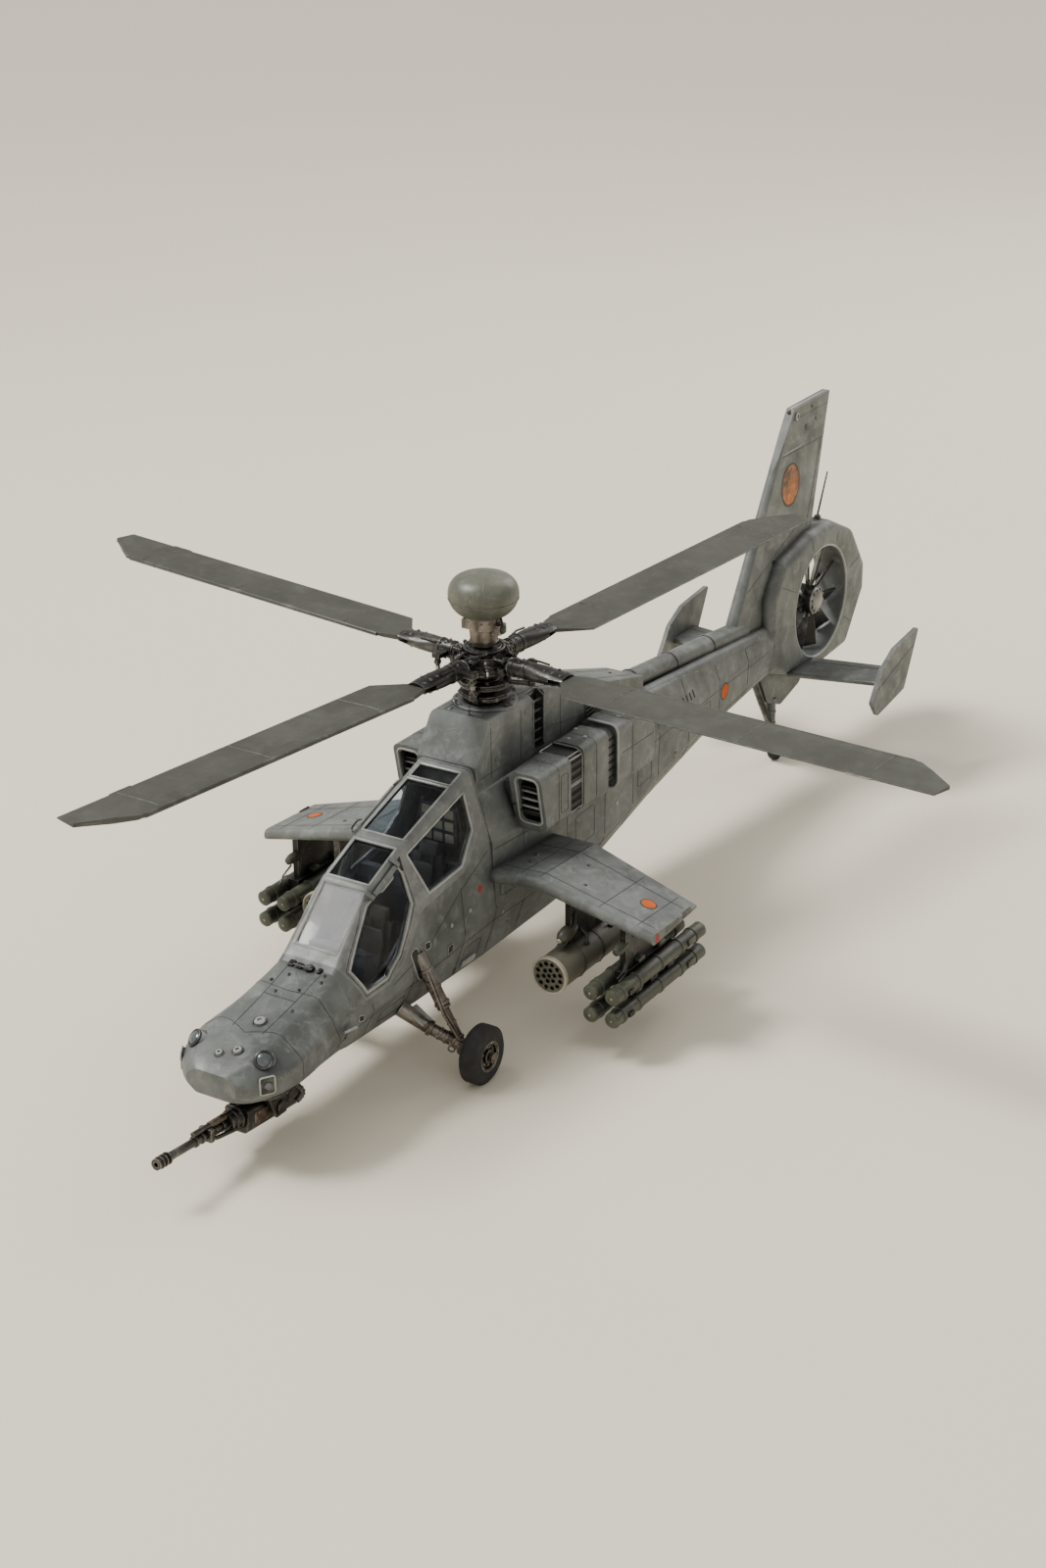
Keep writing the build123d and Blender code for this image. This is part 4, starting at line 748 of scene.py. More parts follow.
inside.block((81, 0, 69.5), (3, 15, 14), 0.8)
for y in (-4.5, 0, 4.5):
    for z in (65.5, 70, 74.5):
        inside_light.pad((82.6, y, z), AHEAD, PORT, (3.6, 3.2), 0.2, 0.4)
inside.finish("cockpit_equipment", "cockpit_dark")
inside_light.finish("cockpit_bezels", "cockpit_bezels")
screens.finish("cockpit_screens", "sensor_glass")
cloth.finish("seat_pads_and_belts", "seat_cloth")

# ---- canopy frame
canopy = Piece()
canopy_dark = Piece()
frame_skin = Skin("canopy_frame")
ROOF_ENDS = ((153.5, 137.2), (134.6, 119.6), (114.6, 88.4), (86.4, 80.6))
for x_front, x_back in ROOF_ENDS:
    spots = [(x, y) for y in (-9, 9) for x, _ in walk([(x_front, 0), (x_back, 0)], 4)]
    spots += [(x, y) for x in (x_front + 0.7, x_back - 0.7) for y in (-6, -3, 0, 3, 6)]
    for x, y in spots:
        found = frame_skin.top(x, y)
        if found:
            canopy.dome(*found, 0.28, 0.14, 0.1, 7)
grab = [(118.5, -9.6, 79.2), (117.6, -10.6, 80), (114, -10.8, 81.2), (112.8, -9.8, 81.4)]
canopy_dark.tube(grab, 0.35)
# Strips along the pane and roof edges in the highlight trim paint: painted highlight on the frame edges.
strips = {"airframe": Piece(), "door_front": Piece(), "door_rear": Piece()}
DOOR_NODES = ("door_front", "door_glass_front", "door_rear", "door_glass_rear")
whole_canopy = Skin("canopy_frame", "windscreen_panes", "side_panes", *DOOR_NODES)
# Outlines of the big side panes as (x, z).
FRONT_OUTLINE = (
    (139.6, 65.9), (153.7, 49.1), (149.4, 40.4), (138.2, 40.9), (131, 46.1), (121.2, 60.3), (121.2, 73.4)
)
REAR_OUTLINE = ((117.2, 75.3), (83.9, 85), (84.4, 72.1), (94.1, 62.9), (113, 60.9))
for side, _ in SIDES:
    for outline, door, door_side in ((FRONT_OUTLINE, "door_front", 1), (REAR_OUTLINE, "door_rear", -1)):
        lay = whole_canopy.side(side)
        edge = []
        for x, z in walk(list(outline) + [outline[0]], 1.5):
            found = lay(x, z)
            if found and side * found[0].y > 6:
                edge.append(found[0] - found[1] * 0.12)
        strips[door if side == door_side else "airframe"].tube(edge, 0.42, 6)
for x_front, x_back in ROOF_ENDS:
    edge = []
    front, back = x_front + 0.5, x_back - 0.5
    corners = [(front, -8.3), (front, 8.3), (back, 8.3), (back, -8.3), (front, -8.3)]
    for x, y in walk(corners, 1.5):
        found = whole_canopy.top(x, y)
        if found:
            edge.append(found[0] - found[1] * 0.12)
    strips["airframe"].tube(edge, 0.42, 6)
for body, piece in strips.items():
    piece.finish(f"canopy_edges_{body}", "painted_highlight_trim", body)
canopy.finish("canopy_screws", "fastener_steel")
canopy_dark.finish("canopy_handle", "dark_metal")

# ---- pylon and mast base
trim = Piece()
trim_dark = Piece()
MAST_SPOT = Vector((52, 0, 0))
PYLON_TOP = 105
base = MAST_SPOT + UP * PYLON_TOP
trim.lathe([(11.4, -0.4), (11.4, 0.5), (10.8, 0.9), (7.4, 0.9), (7, 0.4), (7, -0.4)], base, UP, 48)
for way in spokes(16):
    trim_dark.bolt(base + way * 10 + UP * 0.9, UP, 0.35, 0.22)
for way in spokes(3, math.radians(75)):
    foot = base + way * 10.5 + UP * 0.5
    trim_dark.lathe(button(0.9, 0.4, 0.7, 0.6, 0.4), foot, UP, 18)
    bend = Matrix.Rotation(0.25, 3, "Z") @ way
    end = Matrix.Rotation(0.5, 3, "Z") @ way
    hose = [foot + UP * 0.4, foot + way * 0.3 + UP * 0.8, base + bend * 11.2 + UP]
    trim_dark.tube(hose + [base + Vector((11 * end.x, 10.6 * end.y, 0.2))], 0.3)
for side, name in SIDES:
    for row in range(5):
        z = 87 + 3.7 * row
        trim_dark.tube([(33.2, side * 11.2, z), (39.8, side * 11.2, z)], 0.45)
    trim_dark.pad((36.5, side * 8.7, 94.5), PORT * side, UP, (19, 6.6), 0.3, 0.4)
    for x in (33, 40):
        trim.tube([(x, side * 12, 85), (x, side * 12, 102.8), (x, side * 9.2, 104.9)], 0.4)
    place, out = pylon_skin.side(side)(0, 88)
    trim_dark.pad(place, out, (1, 0, -0.25), (9, 8), 0.15, 0.8)
    trim.frame(place + out * 0.1, out, (1, 0, -0.25), (9.5, 8.5), 1, 0.28)
    for row in range(5):
        spot = place + Vector((0, side * 0.25, -3 + 1.5 * row))
        trim.tube([spot + Vector((-4.2, 0, 0.9)), spot + Vector((4.2, 0, 0.1))], 0.2)
    for x, z in ((70, 89.5), (63.5, 89.5), (44.5, 100.5)):
        trim.lathe(button(0.9, 0.15, 0.6, 0.25, 0.3), *pylon_skin.side(side)(x, z), 16)
for x, y, size in ((64.5, 6, (2.2, 1.4)), (64.5, -6, (2.2, 1.4)), (28, 0, (7, 5)), (14, 0, (7, 5))):
    trim.pad(*pylon_skin.top(x, y), AHEAD, size, 0.35, 0.5)
place, out = pylon_skin.top(66, 3)
trim_dark.tube([place, place + Vector((1, 0, 2.2)), place + Vector((1, 1.2, 2.6))], 0.25)
SPINE_TOP = 85
for x in (-27, -31.5):
    bend = [(0, -2.4), (0, 0.6), (1, 1.6), (2, 1.2)]
    trim_dark.tube([(x - back, 0, SPINE_TOP + rise) for back, rise in bend], 0.3)
for x, z in ((-48, 78.3), (-78, 75.4), (-108, 72.5)):
    trim.ring((x, 0, z), (1, 0, -0.097), 4.35, 0.22, around=40)
trim.finish("pylon_trim", "airframe_paint")
trim_dark.finish("pylon_dark_trim", "dark_metal")

# ---- engine nacelles
MOUTH_Z = 76.5
SHELL_Y = 22.5
SHELL_Z = 75.6
# Intake rims, bars, vent frames and bands in the highlight trim paint: painted highlight.
rims = Piece()
ducts = Piece()
for side, name in SIDES:
    middle_y = side * 24.2
    mouth = []
    for u, v in rounded(9.2, 18.2, 2.2):
        z = MOUTH_Z + v
        mouth.append((64.9 - 5 * (87.4 - z) / 22.9, middle_y + u, z))
    rims.tube(mouth, 0.45, 10, loop=True)
    inner = []
    for x, y, z in mouth:
        inner.append((x - 0.5, middle_y + (y - middle_y) * 0.9, MOUTH_Z + (z - MOUTH_Z) * 0.94))
    rims.tube(inner, 0.22, 8, loop=True)
    ducts.pad((57.9, middle_y, MOUTH_Z), AHEAD, UP, (16.6, 7.6), 0.3, 1)
    for z in (73.6, 76.4, 79.2):
        rims.tube([(60.6, middle_y - 3.8, z), (61, middle_y + 3.8, z)], 0.42)
    for z in (72, 81):
        ducts.block((60.6, middle_y, z), (1.6, 7.8, 0.8), 0.2)
    outer_y = side * 29.55
    for z in (71, 81.2):
        rims.frame((40.5, outer_y, z), PORT * side, AHEAD, (8.8, 9.4), 0.5, 0.3)
        ducts.pad((40.5, outer_y - side * 0.1, z), PORT * side, AHEAD, (8.4, 9), 0.25, 0.3)
        for step in range(7):
            x = 37.1 + 1.13 * step
            ducts.tube([(x, outer_y + side * 0.28, z - 4.4), (x, outer_y + side * 0.28, z + 4.4)], 0.14, 6)
    ducts.pad((40.5, side * 23, 86.65), UP, AHEAD, (8.6, 10.6), 0.2, 0.5)
    rims.frame((40.5, side * 23, 86.8), UP, AHEAD, (9, 11), 0.6, 0.28)
    for x, inset, thick in ((12.6, 0, 0.5), (20.1, 0.3, 0.4), (36.4, 0.3, 0.4), (45.2, 1, 0.35)):
        loop = []
        for u, v in rounded(15.2, 24.3, 3.2, 6):
            y = side * SHELL_Y + u * (1 - inset / 8)
            z = SHELL_Z + v * (1 - inset / 12)
            if side * y > 17.5:
                loop.append((x, y, z))
        loop.sort(key=lambda p: math.atan2(p[2] - SHELL_Z, side * p[1] - 17))
        rims.tube(loop, thick)
    for row in range(6):
        z = 68.5 + 2.9 * row
        ducts.tube([(12.4, side * 28.5, z), (20.4, side * 28.5, z)], 0.3)
    exhaust = Vector((-14, side * SHELL_Y, 73.5))
    ducts.lathe([(5.4, -1), (5.6, 3.2), (5.1, 3.4), (4.7, 0.2), (0, 0.2)], exhaust, -AHEAD, 32)
    rims.ring(exhaust - AHEAD * 3.2, AHEAD, 5.4, 0.35)
    for x, y in ((33, 22.1), (28.5, 26), (24, 19.5), (2, 24)):
        found = Skin(f"nacelle_{name}").top(x, side * y)
        if found:
            rims.lathe(button(0.8, 0.2, 0.5, 0.4, 0.3), *found, 14)
    for step in range(4):
        ducts.bolt((62.7, side * 18.4, 69.5 + 4.6 * step), AHEAD, 0.35, 0.25)
rims.finish("nacelle_rims", "painted_highlight_trim")
ducts.finish("nacelle_ducts", "grille_dark")

# ---- main rotor
HUB = MAST_SPOT + UP * 120
rotor = Piece()
rotor_bright = Piece()
FIRST_BLADE = math.radians(-6)
CONE = math.radians(1.2)


def blade_axes(index):
    """Out along a blade, towards its leading edge, and up."""
    turn = FIRST_BLADE + math.pi / 2 * index
    out = Vector((math.cos(turn) * math.cos(CONE), math.sin(turn) * math.cos(CONE), math.sin(CONE)))
    lead = Vector((-math.sin(turn), math.cos(turn), 0))
    return out, lead, out.cross(lead)


def at_blade(index, x, y, z):
    out, lead, up = blade_axes(index)
    return HUB + out * x + lead * y + up * z


for index in range(4):
    out, lead, up = blade_axes(index)
    for y in (-3.4, 3.4):
        rotor.tube([at_blade(index, 5.5, y, 2.4), at_blade(index, 11.2, y * 0.9, 2.2)], 0.9, 10)
        rotor.bolt(at_blade(index, 11, y * 0.9, 3), up, 0.6, 0.6)
        rotor.bolt(at_blade(index, 7.2, y, 3.1), up, 0.6, 0.6)
    for y in (-2.9, 2.9):
        rotor.lathe(collar(1.2, 1.35, 0.8, 1.2), at_blade(index, 10.4, y * 1.35, -1.2), up, 14)
    rotor_bright.lathe(collar(2.95, 3.1, 0.3, 0.5), at_blade(index, 11.6, 0, 0), out, 24)
    arm = (out + lead).normalized()
    first = HUB + arm * 6.8 + UP * 2
    second = HUB + arm * 10.8 - UP * 0.6
    rotor.tube([first, first * 0.5 + second * 0.5, second], [1.5, 1.5, 1.1], 14)
    rotor_bright.tube([second, second + arm * 1.7 - UP * 1.2], 0.6)
    for step in range(4):
        spot = first + (second - first) * (0.15 + 0.22 * step)
        rotor.ring(spot, second - first, 1.5, 0.22, around=20)
    hose = [HUB + arm * 5 + UP * 4.2, HUB + arm * 7.6 + UP * 4.6, at_blade(index, 10.2, 1.4, 3.6)]
    rotor.tube(hose, 0.38)
    hose = [HUB + arm * 6 - UP * 3, HUB + arm * 9 - UP * 3.4, at_blade(index, 10.6, -0.6, -3)]
    rotor.tube(hose, 0.38)
for radius, height, thick in ((6.9, 4.9, 0.45), (8.4, 0, 0.5), (8.5, -2.7, 0.5), (5.8, 5.1, 0.3)):
    rotor.ring(HUB + UP * height, UP, radius, thick, around=44)
for way in spokes(12, 0.13):
    rotor_bright.bolt(HUB + way * 5.1 + UP * 4.7, UP, 0.42, 0.5)
for way in spokes(20):
    rotor.bolt(HUB + way * 8.4 - UP * 1.3, way, 0.4, 0.4)
rotor.lathe([(3.7, 0), (5.8, 0.2), (6.8, 1), (6.9, 1.6), (3.7, 1.6)], HUB - UP * 4.7, UP, 36)
rotor.finish("hub_fittings", "dark_metal", "rotor")
rotor_bright.finish("hub_bright_fittings", "fastener_steel", "rotor")

for index in range(4):
    out, lead, up = blade_axes(index)
    cuff = Piece()
    for x in (13.6, 18.6):
        cuff.lathe(collar(3.15, 3.45, 0.4, 0.6), at_blade(index, x, 0, 0), out, 28)
    for turn in (60, 120, 240, 300):
        arm = Matrix.Rotation(math.radians(turn), 3, out) @ lead
        cuff.bolt(at_blade(index, 16.1, 0, 0) + arm * 3.15, arm, 0.5, 0.5)
    for x in (27.5, 31, 34):
        for y in (-1.9, 1.9):
            cuff.bolt(at_blade(index, x, y, 1.6 if x > 33 else 2.1), up, 0.55, 0.55)
            cuff.bolt(at_blade(index, x, y, -1.6 if x > 33 else -2.1), -up, 0.55, 0.5)
    hose = ((17.5, 2.2, 2.5), (21.5, 3, 2.9), (26, 3, 2.6))
    cuff.tube([at_blade(index, *spot) for spot in hose], 0.4)
    cuff.lathe(collar(0.8, 0.9, 1, 1.2) + [(0, 1.2)], at_blade(index, 15, 7.4, 0), up, 16)
    cuff.finish(f"blade_cuff_{index + 1}", "dark_metal", f"blade_{index + 1}")
    strip = Piece()
    lead_edge = [(44, 5.35), (166, 5.35), (184, -5.3)]
    strip.tube([at_blade(index, x, y - 0.1, 0) for x, y in lead_edge], [0.82, 0.82, 0.5], 10)
    strip.tube([at_blade(index, 46, -13.75, 0), at_blade(index, 183.5, -13.75, 0)], 0.26, 6)
    for x in (60, 112, 160):
        chord = ((4.6, 0.86), (0.6, 0.98), (-13.2, 0.24))
        strip.tube([at_blade(index, x, y, z) for y, z in chord], 0.11, 5)
    strip.pad(at_blade(index, 158, -14.3, 0), -lead, out, (9, 0.5), 0.35, 0.2)
    strip.finish(f"blade_edge_{index + 1}", "blade_edges", f"blade_{index + 1}")

swash = Piece()
swash_bright = Piece()
plate = HUB - UP * 6.6
for index in range(4):
    out, lead, up = blade_axes(index)
    link = HUB + out * 15 + lead * 7
    link.z = 0
    for z in (113.9, 117.9):
        swash.lathe([(1.15, -0.7), (1.15, 0.7)], link + UP * z, out, 16)
        swash.lathe([(0.7, -0.9), (0.7, 0.9)], link + UP * z, out, 12)
    swash_bright.lathe([(0.85, -0.6), (0.85, 0.6)], link + UP * 116, UP, 6)
    arm = (out + lead).normalized()
    post = HUB + arm * 7.4
    post.z = plate.z
    swash.tube([post, post + UP * 0.8], 0.9, 12)
    swash.bolt(post + UP * 0.8, UP, 0.5, 0.4)
    flat = Vector((HUB.x, HUB.y, plate.z)) + out * 8.8
    swash.bolt(flat + UP * 0.05, UP, 0.45, 0.4)
swash.ring(plate - UP, UP, 9, 0.35, around=44)
swash.lathe([(4.1, 0), (5.2, 0), (5, 0.25), (4.1, 0.3)], plate, UP, 32)
swash.finish("swashplate_fittings", "dark_metal", "swash_rotating")
swash_bright.finish("link_sleeves", "fastener_steel", "swash_rotating")
fixed = Piece()
low_plate = HUB - UP * 11.7
fixed.ring(low_plate, UP, 8.7, 0.5, around=44)
for way in spokes(12):
    fixed.bolt(low_plate + way * 9, way, 0.4, 0.4)
for way in spokes(3, math.radians(15)):
    fixed.lathe([(1, -0.8), (1, 0.8)], low_plate + way * 9.8, way.cross(UP), 16)
fixed.finish("fixed_plate_fittings", "dark_metal", "swash_fixed")

# ---- mast-top sight
sight = Piece()
sight_paint = Piece()
for height, radius in ((127.2, 4.75), (132.3, 5.35)):
    sight.ring(MAST_SPOT + UP * height, UP, radius, 0.35, around=40)
for side, _ in SIDES:
    sight.lathe(button(1.6, 0.5, 1.1, 0.8), (52, side * 7.6, 132.4), PORT * side, 20)
    sight.tube([(52, side * 7.2, 133.6), (52.6, side * 8, 134.6), (52, side * 6.8, 136.4)], 0.45)
for way in spokes(14):
    sight.bolt(MAST_SPOT + UP * 134.9 + way * 6, way, 0.35, 0.35)
dome_skin = Skin("sight_radome")
for way in spokes(2, math.radians(33)):
    joint = []
    for step in range(16):
        z = 137.4 + 13.6 * step / 15
        found = dome_skin.hit(MAST_SPOT + UP * z + way * 40, -way)
        if found:
            joint.append(found[0] - found[1] * 0.02)
    sight_paint.tube(joint, 0.12, 5)
sight_paint.ring(MAST_SPOT + UP * 142.6, UP, 12.14, 0.13, 6, 60)
sight.finish("sight_fittings", "dark_metal")
sight_paint.finish("radome_joints", "radome_paint")

# ---- wings and stores
TUBE_CAP = [
    (1.98, -3), (1.98, -0.2), (2.62, -0.1), (2.5, 0.3025), (1.9, 0.66), (1, 0.88),
    (0.6, 0.9075), (0.5, 0.66), (0, 0.66),
]
stores = Piece()
stores_dark = Piece()
# Pod rims, the fairing tip and tube-cap centres in the lighter pod paint: painted highlight.
stores_highlit = Piece()
for side, name in SIDES:
    wing = Skin(f"stub_wing_{name}")
    for x, y, size in (
        (59.5, 25.4, (3, 1.4)), (66.4, 27, (1.4, 1.4)), (56, 44, (1.2, 1.2)), (68, 50, (1.2, 1.2))
    ):
        stores_dark.pad(*wing.top(x, side * y), AHEAD, size, 0.3, 0.3)
    lamp = Piece()
    profile = [(1.9, -1.2), (1.9, 0.05), (1.5, 0.3), (0, 0.4)]
    lamp.lathe(profile, (73.4, side * 80, 43.8), (0.5, side, 0.15), 20, 1.3)
    lamp.finish(f"wing_lamp_{name}", "port_lamp_red" if side > 0 else "starboard_lamp_green")
    stores_dark.pad((52, side * 80.45, 43.9), PORT * side, AHEAD, (6.5, 2.2), 0.12, 0.8)
    stores.pad((62, side * 80.45, 43.7), PORT * side, AHEAD, (9, 2.4), 0.1, 0.6)
    pod = Vector((88.5, side * 48, 27.5))
    stores_highlit.lathe([(6.75, -1.4), (6.75, 0.1), (6.4, 0.35), (6.05, 0.1), (6.05, -1.4)], pod, AHEAD, 48)
    for x in (38, 50, 62.5, 75):
        stores.lathe(collar(6.4, 6.62, 0.4, 0.6), (x, pod.y, pod.z), AHEAD, 48)
        for way in spokes(8, 0, PORT, UP):
            stores_dark.bolt(Vector((x, pod.y, pod.z)) + way * 6.6, way, 0.3, 0.25)
    for ring_r, count in ((0, 1), (2.2, 6), (4.5, 12)):
        for way in spokes(count, math.radians(15), PORT, UP):
            spot = pod + way * ring_r
            stores.ring(spot, AHEAD, 0.92, 0.13, 6, 18)
            stores_dark.lathe([(0.84, -6.5), (0.84, -3), (0, -2.4)], spot, AHEAD, 12)
    fairing = Vector((77, pod.y, 38.5))
    bullet = [(0, 5.2), (1.4, 4.4), (2.3, 2.6), (2.6, 0), (2.3, -3), (1.6, -5)]
    stores.lathe(bullet, fairing, (1, 0, -0.15), 24)
    stores_highlit.lathe([(0.9, 5.05), (0.7, 5.5), (0, 5.6)], fairing, (1, 0, -0.15), 14)
    for x in (54, 70):
        for out_y in (-1, 1):
            start = (x, pod.y + out_y * 1.2, 38)
            stores_dark.tube([start, (x, pod.y + out_y * 3.6, 36.2), (x, pod.y + out_y * 3.8, 33)], 0.6)
            stores_dark.lathe([(1, -0.4), (1, 0.4)], (x, pod.y + out_y * 3.8, 32.8), UP, 14)
    lead_in = ((73, 1.4, 46), (75, 2.2, 42), (80, 1.6, 36.5), (81.5, 0, 34.2))
    stores_dark.tube([(x, pod.y + off, z) for x, off, z in lead_in], 0.35)
    launcher_y = side * 68.2
    for y in (64, 72.4):
        for z in (25.4, 17):
            tube_y = side * y
            for x, way in ((88, AHEAD), (28, -AHEAD)):
                stores.lathe(TUBE_CAP, (x, tube_y, z), way, 24)
                stores_highlit.lathe([(0.48, 0.3), (0.4, 0.75), (0, 0.8)], (x, tube_y, z), way, 12)
            for x in (34, 44, 58, 73, 83.5):
                stores.lathe(collar(2.8, 3.1, 0.5, 0.7), (x, tube_y, z), AHEAD, 28)
            outward = 1 if y > 68 else -1
            stores_dark.block((80, tube_y + side * outward * 2.9, z), (3.2, 1.2, 1.8), 0.2)
            stores.block((38.5, tube_y + side * outward * 2.8, z + 0.6), (5, 1, 2.2), 0.2)
    for x in (48, 60, 70):
        stores_dark.block((x, launcher_y, 21.2), (5, 9.4, 2.6), 0.4)
        stores_dark.bolt((x, launcher_y + side * 4.7, 21.2), PORT * side, 0.5, 0.4)
    for x in (52, 66):
        stores.block((x, launcher_y, 30.2), (4, 6.4, 1.6), 0.4)
        for z in (33, 40):
            stores_dark.bolt((x + 3, launcher_y + side * 1.2, z), PORT * side, 0.45, 0.4)
    stores.lathe([(0, 3), (1.3, 2.2), (1.9, 0), (1.7, -4)], (76.5, launcher_y, 37.5), (1, 0, -0.1), 20)
    run = ((74.5, 1.6, 34), (78, 2.8, 31), (81, 2, 29.2))
    cable = [(x, launcher_y + side * off, z) for x, off, z in run]
    stores_dark.tube(cable, 0.35)
    stores_dark.tube([(x, y + side * 0.6, z - 1) for x, y, z in cable], 0.25)
stores.finish("store_fittings", "missile_paint")
stores_dark.finish("store_dark_fittings", "dark_metal")
stores_highlit.finish("store_light_fittings", "painted_highlight_pod_rims")

# ---- undercarriage
AXLE = Vector((119.5, 0, 10.25))
HALF_TRACK = 40.7
TAIL_AXLE = Vector((-172, 0, 5))
TAIL_LEG_X = -166
legs = Piece()
gear_highlit = Piece()
for side, name in SIDES:
    top = Vector((121, side * 17, 42))
    knee = AXLE + PORT * side * 33.6 + UP
    down = knee - top
    for share, radius in ((0.18, 2.6), (0.36, 2.6), (0.53, 2.75), (0.57, 2.4), (0.74, 1.75), (0.9, 1.9)):
        legs.lathe(collar(radius - 0.3, radius, 0.35, 0.6), top + down * share, down, 24)
    for share in (0.22, 0.3, 0.42, 0.48):
        spot = top + down * share
        legs.bolt(spot + Vector((2.25, 0, 0.4)), (1, 0, 0.2), 0.5, 0.4)
    beside = ((0.12, 1.8, 1.6, 0.5), (0.35, 2.9, 2, 0.5), (0.62, 3.3, 1.2, 0.3), (0.9, 1.8, 0.6, 0.8))
    hose = [top + down * share + Vector((x, side * y, z)) for share, x, y, z in beside]
    hose.append(knee + Vector((0.6, side * 2, 2.2)))
    legs.tube(hose, 0.42)
    legs.tube([(p + Vector((-1.2, 0, 0.4))) for p in hose[:4]], 0.28)
    root = Vector((127, side * 13.5, 23.5))
    elbow = Vector((123.5, side * 23, 17))
    # A plate on top of the arm in the highlight trim paint: painted highlight on its lit top.
    gear_highlit.block(root * 0.35 + elbow * 0.65 + UP * 2.1, (5.6, 7.6, 0.9), 0.3, (side * -33, "X"))
    legs.lathe(collar(2.4, 2.8, 0.6, 0.9), elbow, knee - elbow, 24)
    for share in (0.3, 0.5, 0.7):
        spot = elbow + (knee - elbow) * share
        legs.lathe(collar(2.15, 2.4, 0.3, 0.5), spot, knee - elbow, 20)
        legs.bolt(spot + Vector((2.2, 0, 0.3)), (1, 0, 0.1), 0.4, 0.4)
    middle = elbow + (knee - elbow) * 0.66
    legs.ring(middle + Vector((0.5, 0, -3.2)), (1, side * 0.3, 0), 1.1, 0.32, around=24)
    legs.lathe(collar(1.5, 1.7, 1.2, 1.4), knee + Vector((0, -side * 0.4, 0)), AHEAD, 20)
    legs.lathe(button(1.9, 0.7, 1.4, 1), AXLE + PORT * side * 45.2, PORT * side, 20)
    wheel = Piece()
    for way in spokes(6, 0.5, AHEAD, UP):
        wheel.bolt(AXLE + PORT * side * 43 + way * 3.3, PORT * side, 0.5, 0.5)
    for way in spokes(10, 0, AHEAD, UP):
        wheel.dome(AXLE + PORT * side * 43.75 + way * 4.85, PORT * side, 0.3, 0.25)
    wheel.ring(AXLE + PORT * side * 43.85, PORT, 5.25, 0.32, around=48)
    wheel.ring(AXLE + PORT * side * 43.9, PORT, 2.2, 0.25)
    wheel.finish(f"wheel_bolts_{name}", "fastener_steel", f"wheel_{name}")
    tread = Piece()
    for y in (-2.1, -0.7, 0.7, 2.1):
        tread.ring(AXLE + PORT * side * (HALF_TRACK + y), PORT, 10.03, 0.2, 6, 64)
    for y in (-3.42, 3.42):
        for radius in (6.2, 7.4):
            tread.ring(AXLE + PORT * (side * HALF_TRACK + y), PORT, radius, 0.14, 6, 48)
    tread.finish(f"tyre_ribs_{name}", "tyre", f"wheel_{name}")
for z, radius in ((24, 2.5), (19, 2.45), (16, 2.45)):
    legs.lathe(collar(radius - 0.3, radius, 0.3, 0.5), (TAIL_LEG_X, 0, z), UP, 24)
legs.finish("gear_fittings", "bright_metal")
gear_highlit.finish("gear_arm_fairings", "painted_highlight_trim")
fork = Piece()
for side, _ in SIDES:
    fork.bolt(TAIL_AXLE + PORT * side * 3.4, PORT * side, 0.7, 0.5)
    fork.dome((-168, side * 3.4, 10.4), PORT * side, 0.6, 0.4)
fork.ring((TAIL_LEG_X, 0, 13.2), UP, 1.5, 0.35)
fork.finish("tail_fork_fittings", "fastener_steel", "tail_fork")
hub = Piece()
for side, _ in SIDES:
    hub.lathe([(2.4, 0), (2.4, 0.25), (1.6, 0.35), (1.6, 0)], TAIL_AXLE + PORT * side * 2, PORT * side, 24)
    hub.ring(TAIL_AXLE + PORT * side * 1.95, PORT, 3.3, 0.15)
hub.finish("tail_wheel_rings", "tyre", "tail_wheel")

# ---- tail
FAN_MIDDLE = Vector((-195.5, 0, 65))
# The shroud lip ring, fin fittings and rods in the highlight trim paint: painted highlight.
tail_highlit = Piece()
tail_dark = Piece()
for side, _ in SIDES:
    tail_highlit.ring(FAN_MIDDLE + PORT * side * 7.05, PORT, 24, 0.55, 10, 96)
    for way in spokes(28, 0, AHEAD, UP):
        tail_highlit.dome(FAN_MIDDLE + PORT * side * 7.35 + way * 24.9, PORT * side, 0.25, 0.12)
    socket = [(1.6, -0.4), (1.6, 0.4), (1.1, 0.7), (0.9, 0.7), (0.8, 0.3), (0, 0.3)]
    tail_highlit.lathe(socket, *fin_skin.side(side)(-178, 148.5), 24)
    tail_highlit.tube([(-166, side * 1.85, 135.2), (-202.5, side * 1.5, 135.2)], 0.28)
    for x, z, size in ((-187.5, 142, (3, 2.2)), (-196, 143.5, (2.4, 1.6)), (-193.5, 149.5, (5, 1.4))):
        tail_dark.pad(*fin_skin.side(side)(x, z), AHEAD, size, 0.25, 0.4)
    tail_dark.pad(*fin_skin.side(side)(-160, 92), (1, 0, 0.4), (3, 2), 0.12, 0.4)
tail_highlit.tube([(-175.3, 0, 151.6), (-206.5, 0, 151.6)], 0.75, 10)
tail_highlit.dome((-206, 0, 141), -AHEAD, 1.1, 1)
tail_dark.tube([(-176, 0, 151.2), (-173.8, 0, 150.6)], 0.6)
for x, z in ((-120, 44.8), (-142, 43.6)):
    tail_dark.lathe([(1.4, -0.5), (1.2, 1.4), (0.6, 2.2), (0, 2.4)], (x, 0, z), -UP, 20)
tail_dark.tube([(-148, 0, 46), (-157, 0, 31.5), (TAIL_LEG_X, 0, 17.5)], 1.45, 12)
tail_highlit.finish("tail_trim", "painted_highlight_trim")
tail_dark.finish("tail_dark_trim", "dark_metal")
fan_cap = Piece()
FAN_HUB = FAN_MIDDLE + PORT * 4.6
fan_cap.lathe([(5.6, -0.2), (5.4, 0.5), (4.3, 1.4), (2.4, 2.2), (0, 2.4)], FAN_HUB, PORT, 40)
fan_cap.ring(FAN_HUB + PORT * 0.2, PORT, 5.5, 0.35)
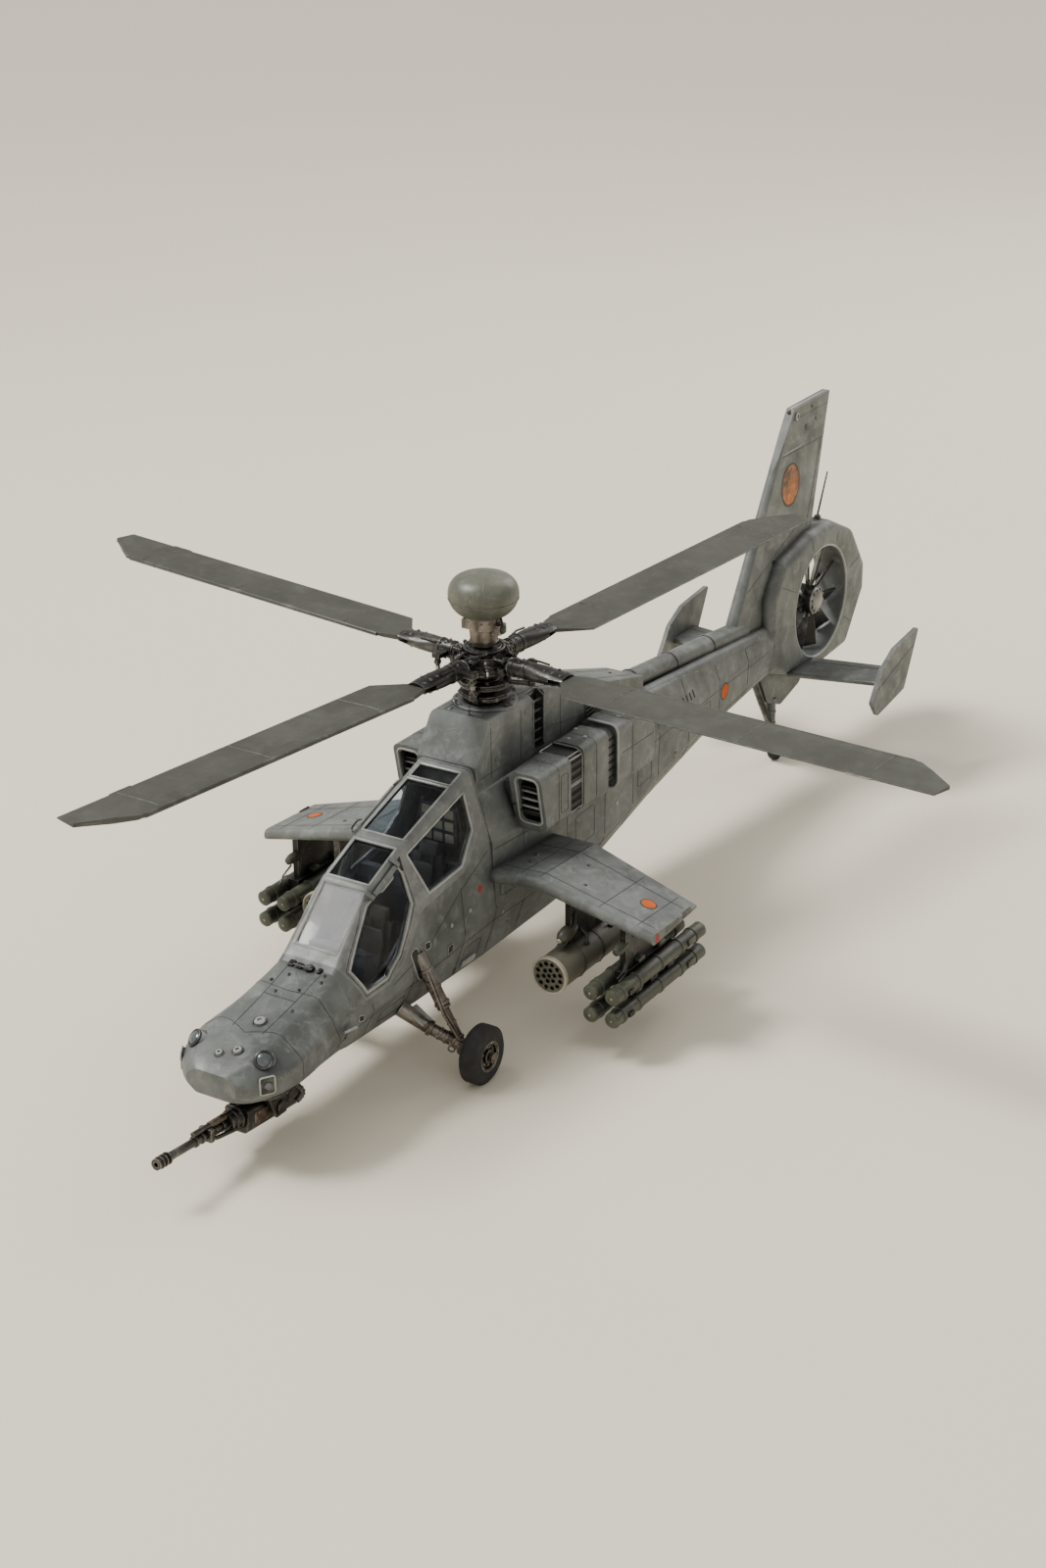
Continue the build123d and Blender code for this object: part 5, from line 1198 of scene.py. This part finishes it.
for way in spokes(10, 0.2, AHEAD, UP):
    fan_cap.bolt(FAN_HUB + way * 4.6 + PORT * 1.2, PORT, 0.45, 0.4)
    fan_cap.tube([FAN_MIDDLE + PORT + way * 5.8, FAN_MIDDLE + PORT + way * 8.2], 0.8, 10)
fan_cap.finish("fan_hub_cap", "fastener_steel", "tail_fan")

# ---- gun
GUN_TILT = math.radians(4.8)
TRUNNION = Vector((185, 0, 13))


def at_gun(x, y, z):
    """A point of the gun's own frame, with X along the barrel."""
    return TRUNNION + Matrix.Rotation(-GUN_TILT, 3, "Y") @ Vector((x, y, z))


bore = at_gun(1, 0, 0) - at_gun(0, 0, 0)
gun = Piece()
gun_bright = Piece()
for x, radius in ((14.6, 3.9), (16.8, 3.6), (19, 3.3)):
    gun.lathe(collar(radius - 0.4, radius, 0.3, 0.6), at_gun(x, 0, 0), bore, 28)
for way in spokes(8, 0, PORT, UP):
    gun.bolt(at_gun(15.4, way.y * 3, way.z * 3), bore, 0.35, 0.5)
for side in (1, -1):
    gun.tube([at_gun(12, side * 3, -2.2), at_gun(27, side * 2.2, -1.4)], 0.75, 12)
    gun_bright.tube([at_gun(24, side * 2.35, -1.55), at_gun(30, side * 2, -1.2)], 0.42, 10)
    gun_bright.pad(at_gun(2, side * 4.6, -0.8), PORT * side, bore, (17, 4.6), 0.35, 1)
    gun.pad(at_gun(-6.5, side * 4.6, 0.2), PORT * side, bore, (4.6, 4), 0.6, 0.6)
    for x in (-3.5, 0.5, 4.5, 8.5):
        gun.bolt(at_gun(x, side * 4.9, -2.4), PORT * side, 0.35, 0.3)
        gun.bolt(at_gun(x, side * 4.9, 0.8), PORT * side, 0.35, 0.3)
gun.block(at_gun(29, 0, 0.2), (2.2, 5.4, 4.6), 0.5, (-4.8, "Y"))
for x in (22, 32, 35):
    gun.lathe(collar(1.5, 1.95, 0.3, 0.5), at_gun(x, 0, 0), bore, 20)
for step in range(9):
    gun_bright.ring(at_gun(20.5 + 0.9 * step, 0, 2.7), bore, 1, 0.2, 6, 18)
gun.ring(at_gun(-14.5, 0, -1), PORT, 2.2, 0.6, around=28)
gun.block(at_gun(-10, 0, 3), (4.6, 5.6, 1.6), 0.4, (-4.8, "Y"))
for side in (1, -1):
    gun_bright.lathe(button(1.9, 0.3, 1.4, 0.5), TRUNNION + PORT * side * 4.6, PORT * side, 20)
gun.finish("gun_fittings", "gun_metal", "gun")
gun_bright.finish("gun_worn_covers", "worn_covers", "gun")
muzzle = Piece()
for x in (48.4, 50.2, 52):
    muzzle.lathe(collar(1.45, 2.1, 0.2, 0.35), at_gun(x, 0, 0), bore, 20)
muzzle.finish("muzzle_baffles", "gun_metal", "gun")
turret = Piece()
for way in spokes(18):
    turret.dome(TRUNNION + UP * 6.2 + way * 9.4, way, 0.35, 0.25)
for side in (1, -1):
    turret.lathe(button(2.3, 0.6, 1.7, 1), TRUNNION + PORT * side * 7.2, PORT * side, 24)
    for x, z in ((-3.6, 16.6), (3.6, 16.6), (0, 17.4)):
        turret.bolt((TRUNNION.x + x, side * 7.2, z), PORT * side, 0.45, 0.4)
chute = []
for step in range(15):
    turn = math.radians(12 + 11 * step)
    chute.append((179.5 - 2.2 * math.sin(turn), 8.2 + 1.6 * math.sin(turn), 18.4 - 0.42 * step))
turret.tube(chute, 1, 10)
for point, ahead in zip(chute[::2], chute[1::2]):
    turret.ring(point, Vector(ahead) - Vector(point), 1.05, 0.22, 6, 16)
turret.finish("turret_fittings", "gun_metal", "turret")

# ---- antennas and belly
odd = Piece()
odd.lathe(button(1.8, 0.2, 1.2, 0.5, 0.4), (-204, 0, 97.6), UP, 20)
odd.ring((-18.5, 0, 19.6), PORT, 1, 0.28)
odd.tube([(-13, 0, 27.2), (-10.5, 0, 25.2), (-9.4, 0, 25.4)], 0.5)
for x in (60, 84, 52):
    place, out = body_skin.belly(x, 6)
    odd.lathe(button(1, 0.3, 0.6, 0.5, 0.3), place, out, 16)
odd.finish("antenna_fittings", "dark_metal")
